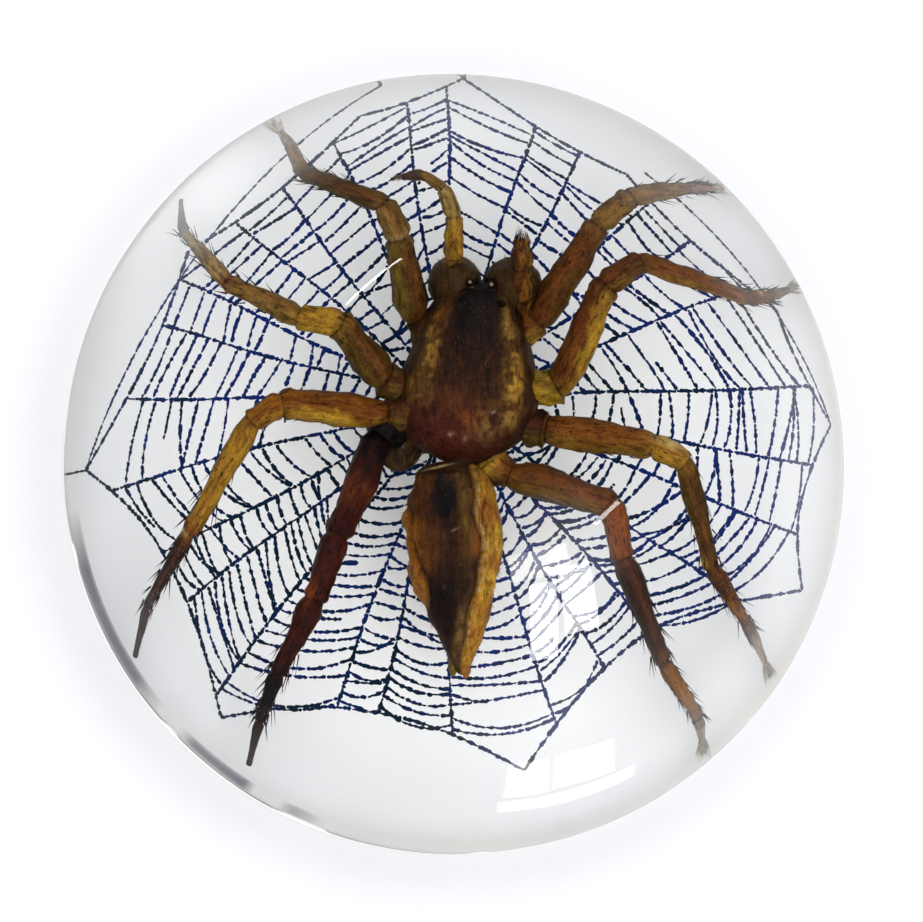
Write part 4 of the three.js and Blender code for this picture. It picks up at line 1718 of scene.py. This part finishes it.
@dataclass
class Spider:
    """The whole dried spider: trunk, jaws, eyes, limbs, spines and hairs."""

    breast_centre: Point = (0, 3, 5.6)
    coxa_length: float = 2.0
    carapace: Carapace = field(default_factory=lambda: Carapace("carapace", sections(
        (8.35, 0.5, 6.6, 1.6, 1.7, 0.9), (7.7, 0.45, 6.6, 2.0, 2.05, 1.1), (6.6, 0.3, 6.6, 2.45, 2.1, 1.2),
        (5.0, 0.2, 6.6, 2.95, 2.05, 1.3), (3.4, 0.05, 6.6, 3.35, 2.0, 1.3), (1.8, 0.0, 6.6, 3.3, 1.8, 1.2),
        (0.4, -0.15, 6.6, 2.6, 1.3, 0.9), (-0.35, -0.2, 6.6, 1.5, 0.7, 0.5),
    ), 0.35))
    abdomen: Abdomen = field(default_factory=lambda: Abdomen("abdomen", sections(
        (-0.9, -0.75, 6.4, 1.8, 1.3, 1.3), (-2.1, -0.6, 6.4, 2.2, 1.8, 1.8),
        (-3.5, -0.65, 6.4, 2.65, 2.0, 2.0), (-5.4, -0.5, 6.4, 2.5, 2.0, 2.0),
        (-7.0, -0.55, 6.4, 2.2, 1.9, 1.8), (-8.2, -0.3, 6.3, 1.7, 1.7, 1.5),
        (-9.6, -0.2, 6.2, 1.1, 1.25, 1.0), (-11.0, -0.2, 6.1, 0.45, 0.6, 0.5),
    ), 0.4))
    lumps: tuple[Lump, ...] = (
        Lump("left_jaw", (-0.6, 8.5, 6.4), (1.36, 1.45, 1.75), P.LOAM, P.UMBER, seed=1),
        Lump("right_jaw", (2.35, 8.5, 6.4), (1.45, 1.45, 1.75), P.LOAM, P.UMBER, seed=2),
        Lump("breast_plate", (0, 3.2, 5.7), (2.2, 3.6, 1.0), P.OLIVE, P.TAWNY, seed=3),
        Lump("left_hip_plate", (-3.3, 0.5, 5.4), (1.25, 1.45, 0.6), P.LOAM, P.BARK, B.ROUGH, seed=8),
        Lump("waist", (-0.4, -0.5, 6.3), (0.8, 1.2, 0.8), P.UMBER, P.WINE, B.BARE, seed=4),
        Lump("left_spinneret", (-0.62, -10.75, 5.9), (0.24, 0.72, 0.26), P.OLIVE, P.UMBER, B.DOTTED, 16, 5),
        Lump("right_spinneret", (0.04, -10.85, 5.9), (0.26, 0.72, 0.26), P.AMBER, P.RUST, B.DOTTED, 16, 6),
    )
    eyes: tuple[tuple[Point, float], ...] = (
        ((0.08, 8.57, 8.12), 0.22), ((1.2, 8.46, 8.12), 0.22), ((-0.37, 7.6, 8.52), 0.2),
        ((1.65, 7.45, 8.52), 0.2), ((0.42, 8.75, 7.6), 0.13), ((0.86, 8.72, 7.6), 0.13),
        ((0.02, 8.75, 7.5), 0.12), ((1.26, 8.7, 7.5), 0.12),
    )
    eye_light: Point = (-0.35, 0.2, 0.92)
    lit_eyes: int = 2

    def legs(self) -> list[Limb]:
        """Sets up the eight legs, each with a coxa added from the hip in under the body.

        Returns:
            The legs.
        """
        legs = []
        for number, (name, joints) in enumerate(LEG_JOINTS.items()):
            hip = np.array(joints[0])
            root = tuple((hip + unit(np.array(self.breast_centre) - hip) * self.coxa_length).tolist())
            side = -1 if name.startswith("left") else 1
            dark = name == "left_fourth"
            thin = name in THIN_TIPPED
            bristles = (*LEG_BRISTLES[:-1], B.DOWNY) if thin else LEG_BRISTLES
            if name == "left_first":
                bristles = (*LEG_BRISTLES[:-2], B.BRUSH, B.BRUSH)
            radii = LEG_STRETCHES if thin else (*LEG_STRETCHES[:-2], *BRUSH_TIP)
            legs.append(Limb(f"leg_{name}", (root, *joints), radii, LEG_PIGMENTS[name], bristles,
                             0 if dark else side, LEG_PALENESS[name], LEG_MARKS[name], seed=3.7 * number,
                             pale_pigment=P.GOLD if name in ("left_third", "right_second") else P.OLIVE,
                             back=P.COAL if dark else P.RUST, edge=P.COAL if dark else P.UMBER))
        return legs

    def palps(self) -> list[Limb]:
        """Sets up the two palps: the left one reaches out and curls, the right one is drawn in.

        Returns:
            The palps.
        """
        left = Limb(
            "palp_left", ((-0.9, 8.1, 6.5), (-0.8, 9.9, 7.2), (-0.7, 12.3, 8), (-1.3, 14, 8),
                          (-2.3, 14.8, 7.2), (-3.3, 14.6, 6.6)),
            stretches((0.5, 0.52, 0.45), (0.42, 0.52, 0.42), (0.42, 0.48, 0.4), (0.38, 0.42, 0.34),
                      (0.34, 0.4, 0.24)),
            (P.BARK, P.HONEY, P.SAND, P.DRAB, P.SMOKE), PALP_BRISTLES, -1, (0.2, 0.6, 0.5, 0.3, 0.0),
            stripes=0.5, pale_pigment=P.GOLD, back=P.TAWNY, edge=P.BARK, seed=50)
        right = Limb(
            "palp_right", ((2.9, 6.7, 6.5), (2.8, 7.7, 7.4), (2.7, 9.3, 8.4), (2.8, 11, 8.1)),
            stretches((0.42, 0.46, 0.44), (0.42, 0.5, 0.46), (0.48, 0.64, 0.44)),
            (P.CHESTNUT, P.TAWNY, P.TAWNY), (B.DOTTED, B.SPINY, B.TUFT), 1, (0.4, 0.5, 0.5),
            stripes=0.8, pale_pigment=P.HONEY, back=P.RUST, edge=P.UMBER, seed=60)
        return [left, right]

    def build(self) -> list[Piece]:
        """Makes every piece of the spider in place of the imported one.

        Returns:
            The pieces.
        """
        cuticle = CuticleFinish().material()
        legs = self.legs()
        parts = [*legs, *self.palps(), self.carapace, self.abdomen, *self.lumps]
        skins = {part.name: part.skin() for part in parts}
        meshes = [skin.mesh(name, [cuticle]) for name, skin in skins.items()] + [self._eye_mesh()]
        down = HairFinish("fine_hair", srgb(46, 28, 12), srgb(116, 86, 42)).material()
        horn = HairFinish("spine_horn", srgb(18, 10, 7), srgb(46, 26, 14)).material()
        grey = HairFinish("brush_hair", srgb(84, 72, 60), srgb(176, 164, 146)).material()
        pale = HairFinish("tip_hair", srgb(148, 138, 120), srgb(214, 206, 190)).material()
        skin_host = Skin.joined(list(skins.values())).mesh("hair_host", [cuticle], HOST_LAYERS)
        spine_host = point_mesh("spine_host", [spine for leg in legs for spine in leg.spines()])
        brushed = [leg for leg in legs if leg.bristles[-1] is B.BRUSH]
        tuft_host = point_mesh("tuft_host", [hair for leg in brushed for hair in leg.tuft()])
        # name, attribute that sets the number, seed, host, material, then length, thickness, lean, scatter
        coats = (
            ("fine_hairs", "down", 7, skin_host, down, 0.30, 0.014, 0.9, 0.45),
            ("setae", "setae", 23, skin_host, horn, 0.6, 0.038, 2.6, 0.35),
            ("brush_hairs", "brush", 31, skin_host, grey, 0.8, 0.03, 1.9, 0.42),
            ("spines", None, 19, spine_host, horn, 1.2, 0.055, 1.0, 0.12),
            ("tip_tufts", None, 43, tuft_host, pale, 1.35, 0.045, 1.0, 0.1),
        )
        for name, growing, seed, *rest in coats:
            meshes.append(HairTree(name, growing, seed).grow(*rest))
        return [place_on_spider(mesh) for mesh in meshes]

    def _eye_mesh(self) -> Mesh:
        """Makes the eight eyes as one mesh of glossy beads.

        Returns:
            The mesh.
        """
        beads = []
        for number, (centre, size) in enumerate(self.eyes):
            bead = Lump("eye", centre, (size, size, size), P.COAL, P.COAL, B.BARE, 24, 70).skin()
            facing = (bead.points - np.array(centre)) / size @ np.array(self.eye_light)
            bead.attributes["shine"] = clamped((facing - 0.87) * 8) * (number < self.lit_eyes)
            beads.append(bead)
        return Skin.joined(beads).mesh("eyes", [EyeFinish().material()], ["shine"])


@dataclass(frozen=True)
class Softbox:
    """A rectangular light that the dome mirrors, on a board that faces the dome.

    Azimuth, elevation and distance place the board; right and up shift the light on it, and turn rolls it.
    """

    name: str
    azimuth: float
    elevation: float
    distance: float
    right: float
    up: float
    width: float
    height: float
    turn: float
    strength: float


@dataclass(frozen=True)
class Glow:
    """A soft bright patch of the room that only the dome's mirror shows: a thin curtain or a pale wall.

    The way points at its middle, and above the ceiling, the height of a unit direction, it fades out.
    """

    way: Point
    focus: float
    strength: float
    ceiling: float = 2.0


def pointing(azimuth: float, elevation: float) -> Vector:
    """The direction at an azimuth and an elevation in degrees."""
    turn, rise = math.radians(azimuth), math.radians(elevation)
    return Vector((math.cos(turn) * math.cos(rise), math.sin(turn) * math.cos(rise), math.sin(rise)))


def stand(name: str, data: Any, axes: tuple[Vector, Vector, Vector], spot: Vector) -> Piece:
    """Puts a light or a camera in the scene with its own axes, at a spot in millimetres.

    Args:
        name: The object's name.
        data: The light or the camera.
        axes: Its right, its up and its back.
        spot: Where it stands.

    Returns:
        The object.
    """
    made = bpy.data.objects.new(name, data)
    bpy.context.scene.collection.objects.link(made)
    place = Matrix(axes).transposed().to_4x4()
    place.translation = spot * MM
    made.matrix_world = place
    return made


@dataclass
class Studio:
    """The pale floor, the soft light and the camera."""

    target: Point = (0, 0, 3)
    distance: float = 250.0
    tilt: float = 8.0
    bearing: float = 225.0
    pixels_a_mm: float = 17.4
    image_width: int = 923
    off_centre: float = 4.5
    floor_half: float = 1500.0
    floor_drop: float = 0.02
    sky: float = 1.6
    sky_colour: Colour = (0.97, 0.98, 1.0, 1.0)
    slope: float = 0.3
    slope_way: Point = (0.42, 0.42, 0.8)
    horizon: float = 0.3
    glows: tuple[Glow, ...] = (
        Glow((-0.60, 0.74, -0.3), 24.0, 3.6, 0.3), Glow((0.46, -0.38, 0.80), 50.0, 2.6),
        Glow((0.45, -0.85, 0.2), 16.0, 3.0), Glow((0.9, 0.3, -0.3), 3.0, 1.25, 0.1),
        Glow((-0.2, 0.9, -0.3), 3.0, 1.3, 0.1), Glow((0.7, -0.65, -0.3), 3.0, 1.5, 0.1),
        Glow((-0.7, -0.6, -0.3), 3.0, 0.7, 0.1),
    )
    panels: tuple[Softbox, ...] = (
        Softbox("window_left_pane", -57, 45, 400, -10, -3, 46, 134, -24, 13.0),
        Softbox("window_right_pane", -57, 45, 400, 57, -1, 58, 116, -20, 13.0),
        Softbox("near_left_pane", -65, 0, 60, -10.4, 7.8, 8.6, 10.0, -8, 4.0),
        Softbox("near_right_pane", -65, 0, 60, 0.9, 6.4, 12.2, 9.4, -12, 3.2),
        Softbox("window_top_light", -57, 45, 400, 30, 92, 105, 50, -22, 5.0),
        Softbox("near_sill", -65, 0, 60, -3.6, -0.9, 26, 3.4, -7, 3.2),
        Softbox("lamp_edge", -30, 70, 400, 62.8, -136.8, 61, 8.3, -22.5, 12.0),
        Softbox("curtain_rail", 150, 60, 400, -224, -99.4, 151, 5.0, -5.5, 18.0),
    )

    def build(self) -> None:
        """Makes the floor, the lights and the camera."""
        self._floor()
        self._sky()
        for panel in self.panels:
            self._softbox(panel)
        self._camera()

    def _floor(self) -> None:
        """Lays the pale floor just under the backing; the dome doesn't mirror it."""
        half = self.floor_half
        corners = np.array([(x, y, -self.floor_drop) for x, y in ((-half, -half), (half, -half),
                                                                   (half, half), (-half, half))])
        mesh = Skin(corners, [(0, 1, 2, 3)]).mesh("floor", [FloorFinish().material()])
        floor = bpy.data.objects.new("floor", mesh)
        bpy.context.scene.collection.objects.link(floor)
        floor.visible_glossy = False

    def _sky(self) -> None:
        """Fills the room with soft light, stronger from above and from the upper right.

        What the dome mirrors of it is only a pale horizon under a dark ceiling, as in a room with windows.
        """
        world = bpy.data.worlds.new("soft_room")
        world.use_nodes = True
        bpy.context.scene.world = world
        graph = Graph(world.node_tree)
        graph.tree.nodes.clear()
        way = graph.read("Generated", "ShaderNodeTexCoord")
        lit = graph.vector("DOT_PRODUCT", {0: way, 1: self.slope_way}, "Value")
        soft = lit * (self.slope * self.sky) + (1 - self.slope / 2) * self.sky
        height = graph.read("Z", "ShaderNodeSeparateXYZ", None, {"Vector": way})
        mirror = (1.0 - height.clamped()) ** 4.0 * self.horizon
        for glow in self.glows:
            near = graph.vector("DOT_PRODUCT", {0: way, 1: glow.way}, "Value")
            mirror = mirror + near.clamped() ** glow.focus * glow.strength * height.below(glow.ceiling, 5.0)
        glossy = graph.read("Is Glossy Ray", "ShaderNodeLightPath")
        mirrored = glossy * graph.read("Is Reflection Ray", "ShaderNodeLightPath")
        strength = soft * (1.0 - mirrored) + mirror * mirrored
        sky = graph.read(0, "ShaderNodeBackground", None, {"Color": self.sky_colour, "Strength": strength})
        graph.node("ShaderNodeOutputWorld", inputs={"Surface": sky})

    def _softbox(self, panel: Softbox) -> None:
        """Hangs one light on its board; it shows only where the dome mirrors it.

        Args:
            panel: The light.
        """
        light = bpy.data.lights.new(panel.name, "AREA")
        light.shape = "RECTANGLE"
        light.size = panel.width * MM
        light.size_y = panel.height * MM
        light.energy = panel.strength * math.pi * light.size * light.size_y
        way = pointing(panel.azimuth, panel.elevation)
        upward = (Vector((0, 0, 1)) - way * way.z).normalized()
        side = upward.cross(way)
        roll = Matrix.Rotation(math.radians(panel.turn), 3, way)
        spot = Vector(self.target) + way * panel.distance + side * panel.right + upward * panel.up
        made = stand(panel.name, light, (roll @ side, roll @ upward, way), spot)
        made.visible_camera = False
        made.visible_diffuse = False
        made.visible_transmission = False

    def _camera(self) -> None:
        """Sets the camera where the photograph was taken from."""
        data = bpy.data.cameras.new("camera")
        data.sensor_width = 36.0
        data.lens = self.pixels_a_mm * self.distance / self.image_width * data.sensor_width
        data.shift_x = self.off_centre / self.image_width
        data.clip_start = 0.01
        back = pointing(self.bearing, 90 - self.tilt)
        right = (-back).cross(Vector((0, 1, 0))).normalized()
        spot = Vector(self.target) + back * self.distance
        bpy.context.scene.camera = stand("camera", data, (right, right.cross(-back), back), spot)
        bpy.context.scene.view_settings.view_transform = "Standard"


def main() -> None:
    """Builds the scene, piece by piece."""
    logging.basicConfig(level=logging.INFO, format="%(name)s %(message)s")
    Studio().build()
    PrintedBacking(OrbWeb()).build(CardFinish(), InkFinish())
    Spider().build()
    ResinDome().build(ResinFinish(), SandedEdgeFinish())


if __name__ == "__main__":
    main()
